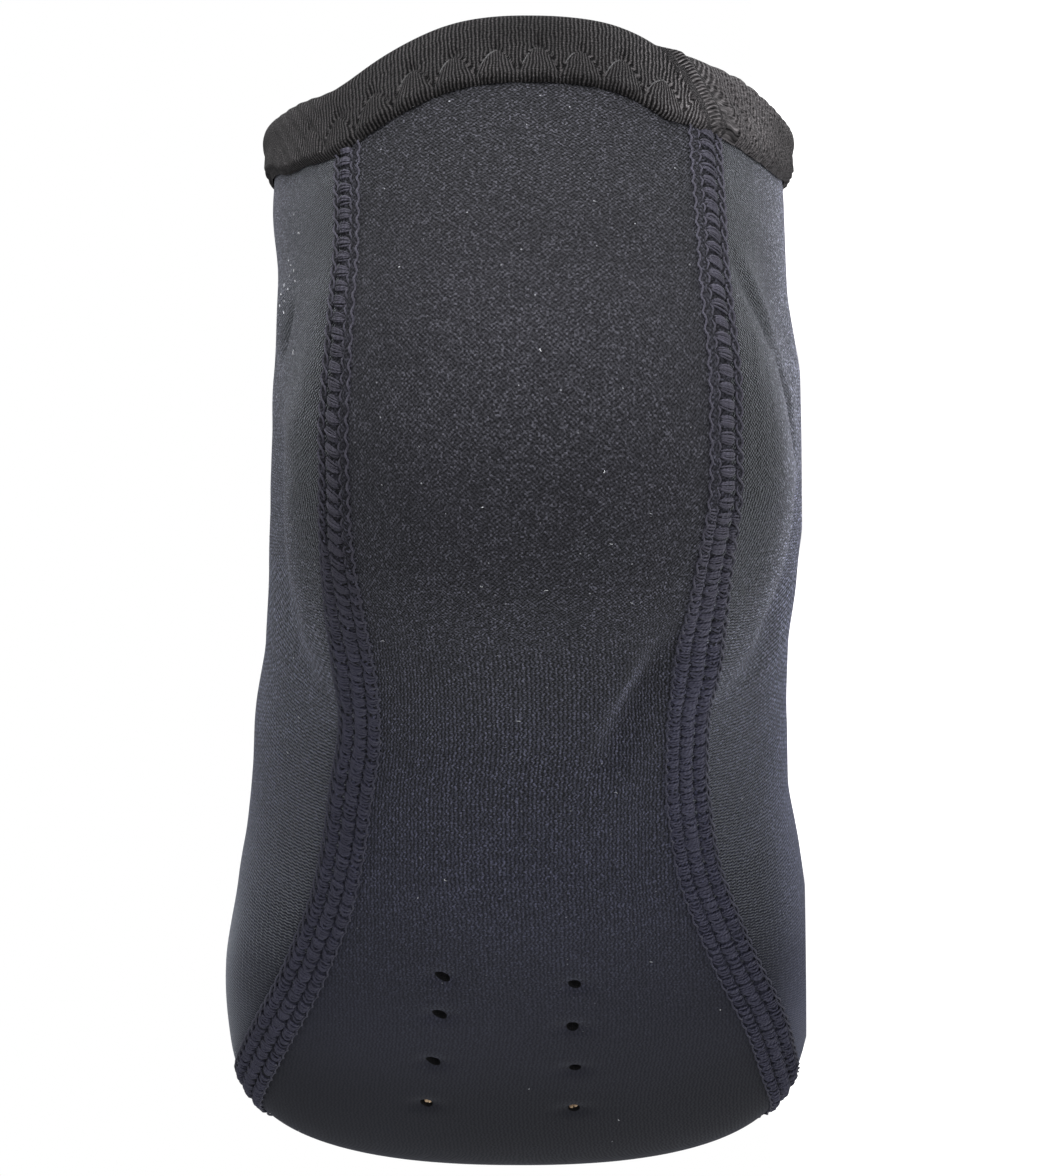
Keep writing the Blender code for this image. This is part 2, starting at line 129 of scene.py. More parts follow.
@dataclass
class SockLast:
    """The form the sock is made on, with the way it lies on the floor."""

    length: float = 225.0
    ball_width: float = 81.6
    instep_height: float = 82.0
    wall: float = 2.5
    joint_gap: float = 0.3
    collar: float = 15.0
    collar_row: float = 14.77
    tab_rows: float = 0.42
    tab_spread_deg: float = 30.0
    toe_seam_row: float = 0.8
    toe_turn_row: float = 2.0
    toe_turn_power: float = 0.55
    rest_turn_deg: float = 2.9
    rest_lift: float = 31.0
    centre: tuple[float, float, float] = (40.888337, 112.982592, 0.0)
    lean: Pairs = (
        (0.0, 0.3), (3.0, 0.35), (5.0, 0.2), (5.9, 0.5), (6.6, 1.0), (7.2, 1.1), (8.0, 0.6),
        (9.0, 0.15), (10.0, -0.1), (10.8, -0.3), (11.6, 0.1), (12.8, 0.75), (14.0, 1.2), (16.0, 1.2),
    )
    collar_wave: tuple[tuple[float, float, float], ...] = (
        (0.0, 18.0, -0.5), (15.0, 9.0, -0.45), (-14.0, 7.0, -0.45), (-26.0, 4.0, 0.8), (43.0, 12.0, 2.5),
        (62.0, 12.0, 0.5), (-44.0, 9.0, -0.6), (104.0, 26.0, -6.3), (-104.0, 26.0, -6.3),
    )
    spare_rows: float = 0.95
    swell: Pairs = (
        (0.0, 1.0), (2.0, 1.010), (4.0, 1.013), (4.8, 1.022), (5.6, 1.004), (6.4, 0.994), (7.2, 1.014),
        (8.0, 1.004), (9.0, 1.007), (10.5, 1.0), (12.6, 0.98), (14.2, 1.018), (16.0, 1.01),
    )
    table: Array = field(init=False)
    drop_angles: Array = field(init=False)
    drop_steps: Array = field(init=False)
    drop_rows: Array = field(init=False)

    def __post_init__(self) -> None:
        """Work out the section table and the rows that lie at even drops below the collar."""
        table = np.array(SECTIONS, float)
        table[:, [0, 2]] *= self.length
        table[:, [1, 3]] *= self.instep_height
        table[:, 4] *= self.ball_width
        table[:, 8:] = np.radians(table[:, 8:])
        mirror = table[1].copy()
        mirror[4] = -table[1, 4]
        mirror[1], mirror[3] = table[1, 3], table[1, 1]
        spare = 2.0 * table[-1] - table[-2]
        self.table = np.vstack([mirror, table, spare])
        self.drop_angles = np.linspace(-math.pi, math.pi, 361)
        self.drop_steps = np.linspace(-6.0, 24.0, 151)
        rows = np.linspace(self.collar + self.spare_rows, 8.0, 320)
        points = self.point(rows[:, None], self.drop_angles[None, :])
        lengths = run(points)
        columns = []
        for column, sag in enumerate(self.collar_sag(self.drop_angles)):
            start = np.interp(-self.collar, -rows, lengths[:, column])
            columns.append(np.interp(self.drop_steps + start + sag, lengths[:, column], rows))
        self.drop_rows = np.array(columns)

    def collar_sag(self, angle: Array) -> Array:
        """Return how far the worn collar's line lies below the cut one, in millimetres."""
        degrees = np.degrees(wrapped(angle))
        return sum(depth * hump(degrees - at, spread) for at, spread, depth in self.collar_wave)

    def section_at(self, row: Array) -> Array:
        """Return the section columns at any row.

        Args:
            row: Rows of the section table, 0 at the toe's tip.

        Returns:
            The ten columns for each row, on a Catmull-Rom curve through the table.
        """
        row = np.asarray(row, float)
        low = np.clip(np.floor(row).astype(int), 0, len(SECTIONS) - 2)
        part = (row - low)[..., None]
        before, start, end, after = (self.table[low + step] for step in range(4))
        linear = (end - before) * part
        square = (2.0 * before - 5.0 * start + 4.0 * end - after) * part**2
        cube = (3.0 * start - before - 3.0 * end + after) * part**3
        return 0.5 * (2.0 * start + linear + square + cube)

    def point(self, row: Array, angle: Array) -> Array:
        """Return points of the sock's outside.

        Args:
            row: Sock rows, 0 at the toe's tip and `collar` at the collar's edge.
            angle: Angles from the sole's middle in radians, positive to the wearer's left.

        Returns:
            Points in the shoe's millimetres.
        """
        row, angle = np.broadcast_arrays(np.asarray(row, float), np.asarray(angle, float))
        tab = self.tab_rows * hump(wrapped(angle), math.radians(self.tab_spread_deg))
        cut = self.section_at(row * (self.collar_row + tab) / self.collar)
        lower = np.cos(angle) >= 0.0
        power = 2.0 / np.where(lower, cut[..., 6], cut[..., 7])
        half_width = cut[..., 4] * self.along_rows(row, self.swell)
        across = np.sign(np.sin(angle)) * np.abs(np.sin(angle)) ** power * half_width
        across = across + self.along_rows(row, self.lean) * limited(row / 0.5)
        reach = np.abs(np.cos(angle)) ** power
        widest = cut[..., 5]
        rise = np.where(lower, widest * (1.0 - reach), widest + (1.0 - widest) * reach)
        x = cut[..., 0] + (cut[..., 2] - cut[..., 0]) * rise
        z = cut[..., 1] + (cut[..., 3] - cut[..., 1]) * rise
        return np.stack([x, across, z], axis=-1)

    @staticmethod
    def along_rows(row: Array, knots: Pairs) -> Array:
        """Return a value that eases from knot to knot along the rows."""
        marks = np.array(knots)
        low = np.clip(np.searchsorted(marks[:, 0], row, side="right") - 1, 0, len(marks) - 2)
        share = limited((row - marks[low, 0]) / (marks[low + 1, 0] - marks[low, 0]))
        return marks[low, 1] + (marks[low + 1, 1] - marks[low, 1]) * eased(share)

    def slopes(self, row: Array, angle: Array) -> tuple[Array, Array]:
        """Return the surface's slopes along the rows and along the angles.

        Args:
            row: Sock rows.
            angle: Angles in radians.

        Returns:
            The two slopes at each point.
        """
        step = 1e-4
        along = (self.point(row + step, angle) - self.point(row - step, angle)) / (2.0 * step)
        around = (self.point(row, angle + step) - self.point(row, angle - step)) / (2.0 * step)
        return along, around

    def normal(self, row: Array, angle: Array) -> Array:
        """Return unit normals that face out of the sock.

        Args:
            row: Sock rows.
            angle: Angles in radians.

        Returns:
            One normal for each point, straight ahead at the toe's tip.
        """
        row = np.asarray(row, float)
        along, around = self.slopes(np.maximum(row, 0.02), angle)
        normal = np.cross(along, around)
        normal /= np.linalg.norm(normal, axis=-1, keepdims=True)
        tip = np.broadcast_to((row < 0.01)[..., None], normal.shape)
        return np.where(tip, np.array([1.0, 0.0, 0.0]), normal)

    def lay_down(self, points: Array, floor_at: float | None = 0.0) -> Array:
        """Return shoe points laid on the floor in the part's frame, in metres.

        Args:
            points: Points in the shoe's millimetres.
            floor_at: Least height in millimetres, or None where nothing presses on the floor.

        Returns:
            Points in the part's frame.
        """
        turn = math.radians(self.rest_turn_deg)
        x, y, z = points[..., 0], points[..., 1], points[..., 2]
        forward = x * math.cos(turn) - y * math.sin(turn)
        height = y * math.cos(turn) + x * math.sin(turn) + self.rest_lift
        if floor_at is not None:
            height = np.maximum(height, floor_at)
        return (np.stack([z, forward, height], axis=-1) - np.array(self.centre)) * MM

    def row_below_collar(self, angle: Array, drop: Array) -> Array:
        """Return the row that lies a distance along the skin below the collar's edge.

        Args:
            angle: Angles in radians.
            drop: Distances in millimetres.

        Returns:
            Sock rows.
        """
        angle, drop = np.broadcast_arrays(np.asarray(angle, float), np.asarray(drop, float))
        turn = wrapped(angle)
        column = (turn + math.pi) / FULL_TURN * (len(self.drop_angles) - 1)
        step = (drop - self.drop_steps[0]) / (self.drop_steps[-1] - self.drop_steps[0])
        step = limited(step) * (len(self.drop_steps) - 1)
        i = np.clip(column.astype(int), 0, len(self.drop_angles) - 2)
        k = np.clip(step.astype(int), 0, len(self.drop_steps) - 2)
        a, b = column - i, step - k
        rows = self.drop_rows
        low = rows[i, k] * (1.0 - a) + rows[i + 1, k] * a
        high = rows[i, k + 1] * (1.0 - a) + rows[i + 1, k + 1] * a
        return low * (1.0 - b) + high * b

    def seam_angle(self, row: Array, side: Side) -> Array:
        """Return the seam's angle on one side, 180 degrees where it crosses the toe.

        Args:
            row: Sock rows.
            side: Which seam.

        Returns:
            Angles in radians, without sign.
        """
        row = np.asarray(row, float)
        column = 8 if side is Side.LEFT else 9
        turn_angle = self.section_at(np.array(self.toe_turn_row))[column]
        share = limited((row - self.toe_seam_row) / (self.toe_turn_row - self.toe_seam_row))
        toe = math.pi - (math.pi - turn_angle) * share**self.toe_turn_power
        beyond = self.section_at(np.maximum(row, self.toe_turn_row))[..., column]
        return np.where(row < self.toe_turn_row, toe, beyond)

    def walk(self, row: Array, angle: Array, direction: Array, distance: float) -> tuple[Array, Array]:
        """Return where a walk over the skin ends.

        Args:
            row: Rows to start from.
            angle: Angles to start from.
            direction: Unit directions along the skin.
            distance: Millimetres to walk.

        Returns:
            The rows and angles reached.
        """
        goal = self.point(row, angle) + direction * distance
        new_row, new_angle = np.array(row, float), np.array(angle, float)
        for _ in range(4):
            along, around = self.slopes(new_row, new_angle)
            miss = goal - self.point(new_row, new_angle)
            pairs = ((along, along), (along, around), (around, around))
            aa, ab, bb = ((p * q).sum(axis=-1) for p, q in pairs)
            am, bm = ((p * miss).sum(axis=-1) for p in (along, around))
            size = aa * bb - ab * ab
            new_row = new_row + (am * bb - bm * ab) / size
            new_angle = new_angle + (bm * aa - am * ab) / size
        return new_row, new_angle


@dataclass(frozen=True)
class Crease:
    """A soft trough or ridge in the cloth, by rows and degrees along it, in millimetres across it."""

    name: str
    path: Pairs
    width: float
    depth: float
    relief: Relief = Relief.TROUGH

    def offset(self, last: SockLast, points: Array) -> Array:
        """Return how far the crease moves each point along its normal.

        Args:
            last: The last it lies on.
            points: Points in the shoe's millimetres.

        Returns:
            Millimetres out of the cloth.
        """
        knots = np.array(self.path, float)
        count = 28
        share = np.linspace(0.0, 1.0, count)
        at = np.linspace(0.0, 1.0, len(knots))
        row, degrees = np.interp(share, at, knots[:, 0]), np.interp(share, at, knots[:, 1])
        line = last.point(row, np.radians(degrees))
        best = np.full(points.shape[:-1], np.inf)
        fade = np.zeros(points.shape[:-1])
        for k in range(count):
            gap = ((points - line[k]) ** 2).sum(axis=-1)
            nearer = gap < best
            best = np.where(nearer, gap, best)
            fade = np.where(nearer, math.sin(math.pi * min(max(share[k], 0.02), 0.98)) ** 0.7, fade)
        return self.relief.value * self.depth * fade * np.exp(-best / self.width**2)


@dataclass(frozen=True)
class DrainHole:
    """A punched drain hole: its row, its angle in degrees and how much wider than round it has pulled."""

    row: float
    degrees: float
    stretch: float = 1.0
    slant: float = 0.0


CREASES = (
    Crease("arch_fold_right", ((9.4, -25.0), (8.8, -22.8), (8.2, -19.5), (7.4, -15.0)), 3.0, 1.9),
    Crease(
        "arch_lip_right",
        ((9.2, -18.2), (8.7, -16.4), (8.2, -13.9), (7.5, -10.0)),
        1.7, 0.55, Relief.RIDGE,
    ),
    Crease("arch_hollow", ((9.8, 1.0), (8.6, 0.8), (7.6, 0.6), (6.2, 0.0)), 9.0, 0.8),
    Crease("left_side_fold", ((11.2, 64.5), (10.5, 67.0), (9.85, 64.8), (9.0, 63.0)), 1.2, 1.6),
    Crease(
        "left_side_strip",
        ((11.2, 70.0), (10.5, 72.5), (9.85, 70.5), (9.0, 68.5)),
        2.4, 0.7, Relief.RIDGE,
    ),
    Crease("left_high_fold", ((12.6, 65.5), (12.25, 70.5), (11.9, 78.0)), 1.2, 0.9),
    Crease("left_high_strip", ((12.8, 69.5), (12.55, 75.0), (12.2, 81.0)), 2.4, 0.6, Relief.RIDGE),
    Crease("right_wrinkle", ((13.05, -42.5), (12.6, -51.0), (12.33, -57.0), (12.05, -60.5)), 1.6, 0.65),
    Crease(
        "right_wrinkle_lip",
        ((12.95, -47.0), (12.65, -54.5), (12.3, -60.5), (11.9, -64.0)),
        1.8, 0.65, Relief.RIDGE,
    ),
    Crease("right_low_wrinkle", ((12.5, -55.5), (12.04, -62.8), (11.55, -66.0), (11.0, -66.0)), 1.3, 0.9),
    Crease("right_low_fold", ((10.7, -64.0), (9.9, -61.5), (9.1, -58.0)), 1.6, 0.8),
    Crease(
        "heel_cup_roll_left",
        ((12.4, 52.0), (11.2, 58.5), (10.0, 58.0), (9.0, 52.0), (8.2, 44.0)),
        6.0, 1.9, Relief.RIDGE,
    ),
    Crease("heel_cup_hollow_left", ((11.6, 76.0), (10.4, 76.0), (9.2, 71.0), (8.2, 62.0)), 8.0, 2.0),
    Crease(
        "heel_cup_roll_right",
        ((12.4, -46.0), (11.4, -53.0), (10.2, -54.0), (9.1, -47.0), (8.2, -39.0)),
        6.0, 1.9, Relief.RIDGE,
    ),
    Crease("heel_cup_hollow_right", ((11.0, -72.0), (10.0, -70.0), (9.0, -64.0), (8.2, -55.0)), 7.0, 2.0),
    Crease("arch_fold_left", ((9.0, 21.0), (8.2, 17.5), (7.3, 15.0)), 4.0, 0.4),
    Crease("ankle_dent_right", ((13.3, -60.0), (12.4, -66.0), (11.6, -70.0)), 6.0, 0.8),
    Crease(
        "instep_fold",
        ((12.2, 128.0), (11.9, 150.0), (11.8, 172.0), (11.9, 196.0), (12.1, 224.0)),
        3.6, 0.7,
    ),
    Crease(
        "instep_roll",
        ((12.9, 132.0), (12.7, 160.0), (12.7, 192.0), (12.9, 222.0)),
        4.2, 0.5, Relief.RIDGE,
    ),
    Crease("vamp_fold", ((8.6, 108.0), (8.2, 128.0), (7.9, 150.0), (8.0, 168.0)), 4.4, 0.6),
    Crease("toe_fold", ((4.6, 196.0), (4.5, 216.0), (4.7, 238.0)), 4.6, 0.5),
)

DRAIN_HOLES = (
    DrainHole(5.515, 12.75, 1.8, 0.45),
    DrainHole(5.44, -7.25, 1.5, 0.25),
    DrainHole(5.13, 12.2, 1.7, 0.45),
    DrainHole(5.00, -6.25, 1.7, 0.0),
    DrainHole(4.58, 12.5, 1.8, 0.4),
    DrainHole(4.50, -6.75, 1.2, 0.0),
    DrainHole(3.97, 13.8, 1.6, 0.2),
    DrainHole(3.905, -7.2, 1.5, 0.0),
)


@dataclass
class ClothSkin:
    """The outside of the worn sock: the last with its creases and the dimples round the drain holes."""

    last: SockLast
    creases: tuple[Crease, ...] = CREASES
    holes: tuple[DrainHole, ...] = DRAIN_HOLES
    dimple_depth: float = 0.55
    dimple_width: float = 2.0
    sharp_width: float = 2.5

    def relief(self, row: Array, angle: Array) -> Array:
        """Return how far creases and dimples move the cloth out.

        Args:
            row: Sock rows.
            angle: Angles in radians.

        Returns:
            Millimetres along the normal.
        """
        points = self.last.point(row, angle)
        out = np.zeros(points.shape[:-1])
        for crease in self.creases:
            out += crease.offset(self.last, points)
        for hole in self.holes:
            middle = self.last.point(np.array(hole.row), np.array(math.radians(hole.degrees)))
            gap = ((points - middle) ** 2).sum(axis=-1)
            out -= self.dimple_depth * np.exp(-gap / self.dimple_width**2)
        return out

    # The sharp creases' depth feeds painted shade in their troughs and painted light on their ridges on the
    # upper.
    def fold(self, row: Array, angle: Array) -> Array:
        """Return how deep the sharp creases are at each place, in millimetres out of the cloth."""
        points = self.last.point(row, angle)
        sharp = [crease for crease in self.creases if crease.width <= self.sharp_width]
        return sum(crease.offset(self.last, points) for crease in sharp)

    def shoe_point(self, row: Array, angle: Array, out: Array | float = 0.0) -> Array:
        """Return points that stand out from the cloth, in the shoe's millimetres.

        Args:
            row: Sock rows.
            angle: Angles in radians.
            out: Distances out of the cloth.

        Returns:
            Points in the shoe's frame.
        """
        row, angle = np.broadcast_arrays(np.asarray(row, float), np.asarray(angle, float))
        lift = self.relief(row, angle) + out
        return self.last.point(row, angle) + lift[..., None] * self.last.normal(row, angle)

    def place(self, row: Array, angle: Array, out: Array | float = 0.0) -> Array:
        """Return points that stand out from the cloth, laid on the floor in metres."""
        return self.last.lay_down(self.shoe_point(row, angle, out))


# Bench work: meshes.


class MeshBench:
    """Plain operations on meshes, each on one object at a time."""

    @staticmethod
    def clear() -> None:
        """Deselect everything."""
        bpy.ops.object.select_all(action="DESELECT")

    @staticmethod
    def take_up(piece: Piece) -> None:
        """Select one object alone and make it active."""
        MeshBench.clear()
        piece.select_set(True)
        bpy.context.view_layer.objects.active = piece

    @classmethod
    def grid(cls, name: str, across: int, along: int) -> Piece:
        """Add a flat grid to be shaped.

        Args:
            name: Name of the piece.
            across: Faces across it.
            along: Faces along it.

        Returns:
            The grid, one unit square.
        """
        MeshBench.clear()
        bpy.ops.mesh.primitive_grid_add(x_subdivisions=across, y_subdivisions=along, size=1.0)
        piece = bpy.context.active_object
        piece.name = name
        piece.data.name = name
        return piece

    @staticmethod
    def shares(piece: Piece) -> tuple[Array, Array]:
        """Return where each point of a fresh grid lies, 0 to 1 across and 0 to 1 along.

        Args:
            piece: A grid as it was added.

        Returns:
            Shares across and along, one per vertex.
        """
        flat = np.empty(len(piece.data.vertices) * 3)
        piece.data.vertices.foreach_get("co", flat)
        flat = flat.reshape(-1, 3)
        return np.round(flat[:, 0] + 0.5, 6), np.round(flat[:, 1] + 0.5, 6)

    @staticmethod
    def set_points(piece: Piece, points: Array) -> None:
        """Move every vertex to its point in metres."""
        piece.data.vertices.foreach_set("co", np.ascontiguousarray(points.reshape(-1), dtype=np.float32))
        piece.data.update()

    @staticmethod
    def set_cloth_map(piece: Piece, cloth: Array) -> None:
        """Give the mesh a UV map in millimetres of cloth.

        Args:
            piece: The piece.
            cloth: Millimetres across and along, one pair per vertex.
        """
        mesh = piece.data
        while mesh.uv_layers:
            mesh.uv_layers.remove(mesh.uv_layers[0])
        layer = mesh.uv_layers.new(name="cloth")
        index = np.empty(len(mesh.loops), np.int32)
        mesh.loops.foreach_get("vertex_index", index)
        layer.data.foreach_set("uv", np.ascontiguousarray(cloth[index].reshape(-1), dtype=np.float32))

    @staticmethod
    def set_value(piece: Piece, name: str, values: Array) -> None:
        """Give every vertex a number under a name."""
        made = piece.data.attributes.new(name, "FLOAT", "POINT")
        made.data.foreach_set("value", np.ascontiguousarray(values, dtype=np.float32))

    @classmethod
    def merge(cls, piece: Piece, distance: float = 2e-6) -> None:
        """Merge points that lie on each other, as at the toe's tip."""
        cls.take_up(piece)
        bpy.ops.object.mode_set(mode="EDIT")
        bpy.ops.mesh.select_all(action="SELECT")
        bpy.ops.mesh.remove_doubles(threshold=distance)
        bpy.ops.object.mode_set(mode="OBJECT")

    @classmethod
    def apply(cls, piece: Piece, modifier: bpy.types.Modifier) -> None:
        """Apply a modifier."""
        cls.take_up(piece)
        bpy.ops.object.modifier_apply(modifier=modifier.name)

    @classmethod
    def thicken(cls, piece: Piece, thickness: float, inside_slot: int, rim_slot: int) -> None:
        """Give a shell its thickness, inwards from the face.

        Args:
            piece: The shell.
            thickness: Millimetres.
            inside_slot: Material slot of the inside.
            rim_slot: Material slot of the cut edge.
        """
        solid = piece.modifiers.new("wall", "SOLIDIFY")
        solid.thickness = thickness * MM
        solid.offset = -1.0
        solid.use_rim = True
        solid.material_offset = inside_slot
        solid.material_offset_rim = rim_slot
        cls.apply(piece, solid)

    @classmethod
    def smooth(cls, piece: Piece, degrees: float) -> None:
        """Shade smooth, with edges sharper than an angle kept."""
        cls.take_up(piece)
        bpy.ops.object.shade_smooth_by_angle(angle=math.radians(degrees))

    @staticmethod
    def from_arrays(name: str, points: Array, faces: list[tuple[int, ...]], cloth: Array) -> Piece:
        """Make an object from points and faces.

        Args:
            name: Name of the piece.
            points: Points in metres.
            faces: Vertex numbers of each face.
            cloth: UV pair of each vertex.

        Returns:
            The new object.
        """
        mesh = bpy.data.meshes.new(name)
        mesh.from_pydata(points.tolist(), [], faces)
        piece = bpy.data.objects.new(name, mesh)
        bpy.context.scene.collection.objects.link(piece)
        MeshBench.set_cloth_map(piece, cloth)
        mesh.polygons.foreach_set("use_smooth", np.ones(len(mesh.polygons), bool))
        return piece

    @classmethod
    def join(cls, pieces: list[Piece]) -> Piece:
        """Return several pieces joined into one."""
        cls.clear()
        for piece in pieces:
            piece.select_set(True)
        bpy.context.view_layer.objects.active = pieces[0]
        bpy.ops.object.join()
        return bpy.context.active_object

    @staticmethod
    def give(piece: Piece, *materials: Material) -> None:
        """Put materials in the piece's slots, in order."""
        piece.data.materials.clear()
        for material in materials:
            piece.data.materials.append(material)


@dataclass
class ThreadBundle:
    """Many short threads gathered into one mesh."""

    sides: int = 5
    points: list[Array] = field(default_factory=list)
    cloth: list[Array] = field(default_factory=list)
    faces: list[tuple[int, ...]] = field(default_factory=list)
    count: int = 0

    def add(self, paths: Array, ups: Array, radius: Array | float, closed: bool = False) -> None:
        """Add a set of threads with the same number of points.

        Args:
            paths: Points along each thread, thread by point by 3, in metres.
            ups: Directions out of the cloth at those points.
            radius: Radius in metres, one for all or one per point.
            closed: Whether each thread is a ring.
        """
        threads, stations = paths.shape[:2]
        if closed:
            tangent = np.roll(paths, -1, axis=1) - np.roll(paths, 1, axis=1)
        else:
            tangent = np.gradient(paths, axis=1)
        tangent /= np.linalg.norm(tangent, axis=-1, keepdims=True) + 1e-12
        across = np.cross(tangent, ups)
        across /= np.linalg.norm(across, axis=-1, keepdims=True) + 1e-12
        up = np.cross(across, tangent)
        turns = FULL_TURN * np.arange(self.sides) / self.sides
        radius = np.broadcast_to(np.asarray(radius, float), paths.shape[:2])
        ring = np.cos(turns)[:, None] * up[:, :, None, :] + np.sin(turns)[:, None] * across[:, :, None, :]
        body = paths[:, :, None, :] + radius[:, :, None, None] * ring
        length = np.broadcast_to(run(paths, 1)[:, :, None] / MM, body.shape[:3])
        turn = np.broadcast_to(np.arange(self.sides) / self.sides, body.shape[:3])
        self.points.append(body.reshape(-1, 3))
        self.cloth.append(np.stack([length, turn], axis=-1).reshape(-1, 2))
        spans = stations if closed else stations - 1
        for thread in range(threads):
            start = self.count + thread * stations * self.sides
            for i in range(spans):
                here = start + i * self.sides
                there = start + (i + 1) % stations * self.sides
                for k in range(self.sides):
                    after = (k + 1) % self.sides
                    self.faces.append((here + k, here + after, there + after, there + k))
            if not closed:
                end = start + (stations - 1) * self.sides
                self.faces.append(tuple(start + k for k in reversed(range(self.sides))))
                self.faces.append(tuple(end + k for k in range(self.sides)))
        self.count += threads * stations * self.sides

    def make(self, name: str) -> Piece:
        """Return the bundle as one object."""
        return MeshBench.from_arrays(name, np.vstack(self.points), self.faces, np.vstack(self.cloth))


# Bench work: finishes.

Feed = Socket | float


@dataclass
class NodeBench:
    """Short ways to place nodes in a tree."""

    tree: Tree

    def node(self, kind: str, **settings: object) -> Node:
        """Add a node and set its properties."""
        made = self.tree.nodes.new(kind)
        for name, value in settings.items():
            setattr(made, name, value)
        return made

    def feed(self, socket: Socket, value: object) -> None:
        """Link a socket to an input, or set the input's value."""
        if isinstance(value, Socket):
            self.tree.links.new(value, socket)
        elif value is not None:
            socket.default_value = value

    def math(self, operation: str, a: Feed, b: Feed | None = None) -> Socket:
        """Add a Math node.

        Args:
            operation: Blender's name of the operation.
            a: First input.
            b: Second input.

        Returns:
            Its output.
        """
        made = self.node("ShaderNodeMath", operation=operation)
        self.feed(made.inputs[0], a)
        self.feed(made.inputs[1], b)
        return made.outputs[0]

    def sum(self, *terms: tuple[Feed, float]) -> Socket:
        """Add up inputs, each with its weight."""
        total: Feed = 0.0
        for value, weight in terms:
            made = self.node("ShaderNodeMath", operation="MULTIPLY_ADD")
            self.feed(made.inputs[0], value)
            made.inputs[1].default_value = weight
            self.feed(made.inputs[2], total)
            total = made.outputs[0]
        return total

    def times(self, first: Feed, *others: Feed) -> Socket:
        """Multiply inputs together."""
        for other in others:
            first = self.math("MULTIPLY", first, other)
        return first

    def axes(self, place: Socket) -> tuple[Socket, ...]:
        """Return the X, Y and Z of a place."""
        made = self.node("ShaderNodeSeparateXYZ")
        self.feed(made.inputs[0], place)
        return tuple(made.outputs)

    def blend(self, share: Feed, a: Feed, b: Feed) -> Socket:
        """Blend from one value to another."""
        made = self.node("ShaderNodeMix", data_type="FLOAT")
        for socket, value in zip(made.inputs, (share, None, a, b)):
            self.feed(socket, value)
        return made.outputs[0]

    def spread(
        self, value: Feed, low: float, high: float, to_low: float = 0.0, to_high: float = 1.0
    ) -> Socket:
        """Map a range of values smoothly to another.

        Args:
            value: Input.
            low: Input's low end.
            high: Input's high end.
            to_low: Result at the low end.
            to_high: Result at the high end.

        Returns:
            The mapped value.
        """
        made = self.node("ShaderNodeMapRange", interpolation_type="SMOOTHSTEP")
        for socket, number in zip(made.inputs, (value, low, high, to_low, to_high)):
            self.feed(socket, number)
        return made.outputs[0]

    def colour_mix(self, share: Feed, a: object, b: object, blend: str = "MIX") -> Socket:
        """Mix two colours.

        Args:
            share: Share of the second colour.
            a: First colour.
            b: Second colour.
            blend: Blend type.

        Returns:
            The mixed colour.
        """
        made = self.node("ShaderNodeMix", data_type="RGBA", blend_type=blend)
        self.feed(made.inputs[0], share)
        self.feed(made.inputs[6], (*a, 1.0) if isinstance(a, tuple) else a)
        self.feed(made.inputs[7], (*b, 1.0) if isinstance(b, tuple) else b)
        return made.outputs[2]

    def ramp(self, value: Feed, stops: Pairs) -> Socket:
        """Map a value through a curve of stops.

        Args:
            value: Input.
            stops: Input and result at each stop, in rising order.

        Returns:
            The mapped value.
        """
        low, high = stops[0][0], stops[-1][0]
        top = max(stop[1] for stop in stops)
        made = self.node("ShaderNodeFloatCurve")
        curve = made.mapping.curves[0]
        while len(curve.points) < len(stops):
            curve.points.new(0.5, 0.5)
        for point, (at, result) in zip(curve.points, stops):
            point.location = ((at - low) / (high - low), result / top)
            point.handle_type = "AUTO_CLAMPED"
        made.mapping.update()
        self.feed(made.inputs["Value"], self.spread_line(value, low, high))
        return self.math("MULTIPLY", made.outputs[0], top)

    def spread_line(self, value: Feed, low: float, high: float) -> Socket:
        """Map a range of values in a straight line to 0 and 1."""
        made = self.node("ShaderNodeMapRange")
        for socket, number in zip(made.inputs, (value, low, high)):
            self.feed(socket, number)
        return made.outputs[0]

    def shade(self, colour: Socket, factor: Socket) -> Socket:
        """Make a colour lighter or darker by a factor."""
        grey = self.node("ShaderNodeCombineXYZ")
        for socket in grey.inputs:
            self.feed(socket, factor)
        return self.colour_mix(1.0, colour, grey.outputs[0], "MULTIPLY")

    def noise(self, place: Socket, scale: Feed, detail: float = 2.0) -> Node:
        """Add a Noise node at a scale."""
        made = self.node("ShaderNodeTexNoise")
        self.feed(made.inputs["Vector"], place)
        self.feed(made.inputs["Scale"], scale)
        made.inputs["Detail"].default_value = detail
        return made


@dataclass(frozen=True)
class EffectGroup:
    """A node group shared by the finishes: its name, inputs and outputs."""

    name: str
    inputs: tuple[tuple[str, str, float | None], ...]
    outputs: tuple[str, ...]

    def start(self) -> tuple[NodeBench, Node, Node]:
        """Return a bench on the new group with its input and output nodes."""
        tree = bpy.data.node_groups.new(self.name, "ShaderNodeTree")
        for name, kind, value in self.inputs:
            socket = tree.interface.new_socket(name=name, in_out="INPUT", socket_type=kind)
            if value is not None:
                socket.default_value = value
        for name in self.outputs:
            tree.interface.new_socket(name=name, in_out="OUTPUT", socket_type="NodeSocketFloat")
        bench = NodeBench(tree)
        return bench, bench.node("NodeGroupInput"), bench.node("NodeGroupOutput")


VECTOR = "NodeSocketVector"
FLOAT = "NodeSocketFloat"


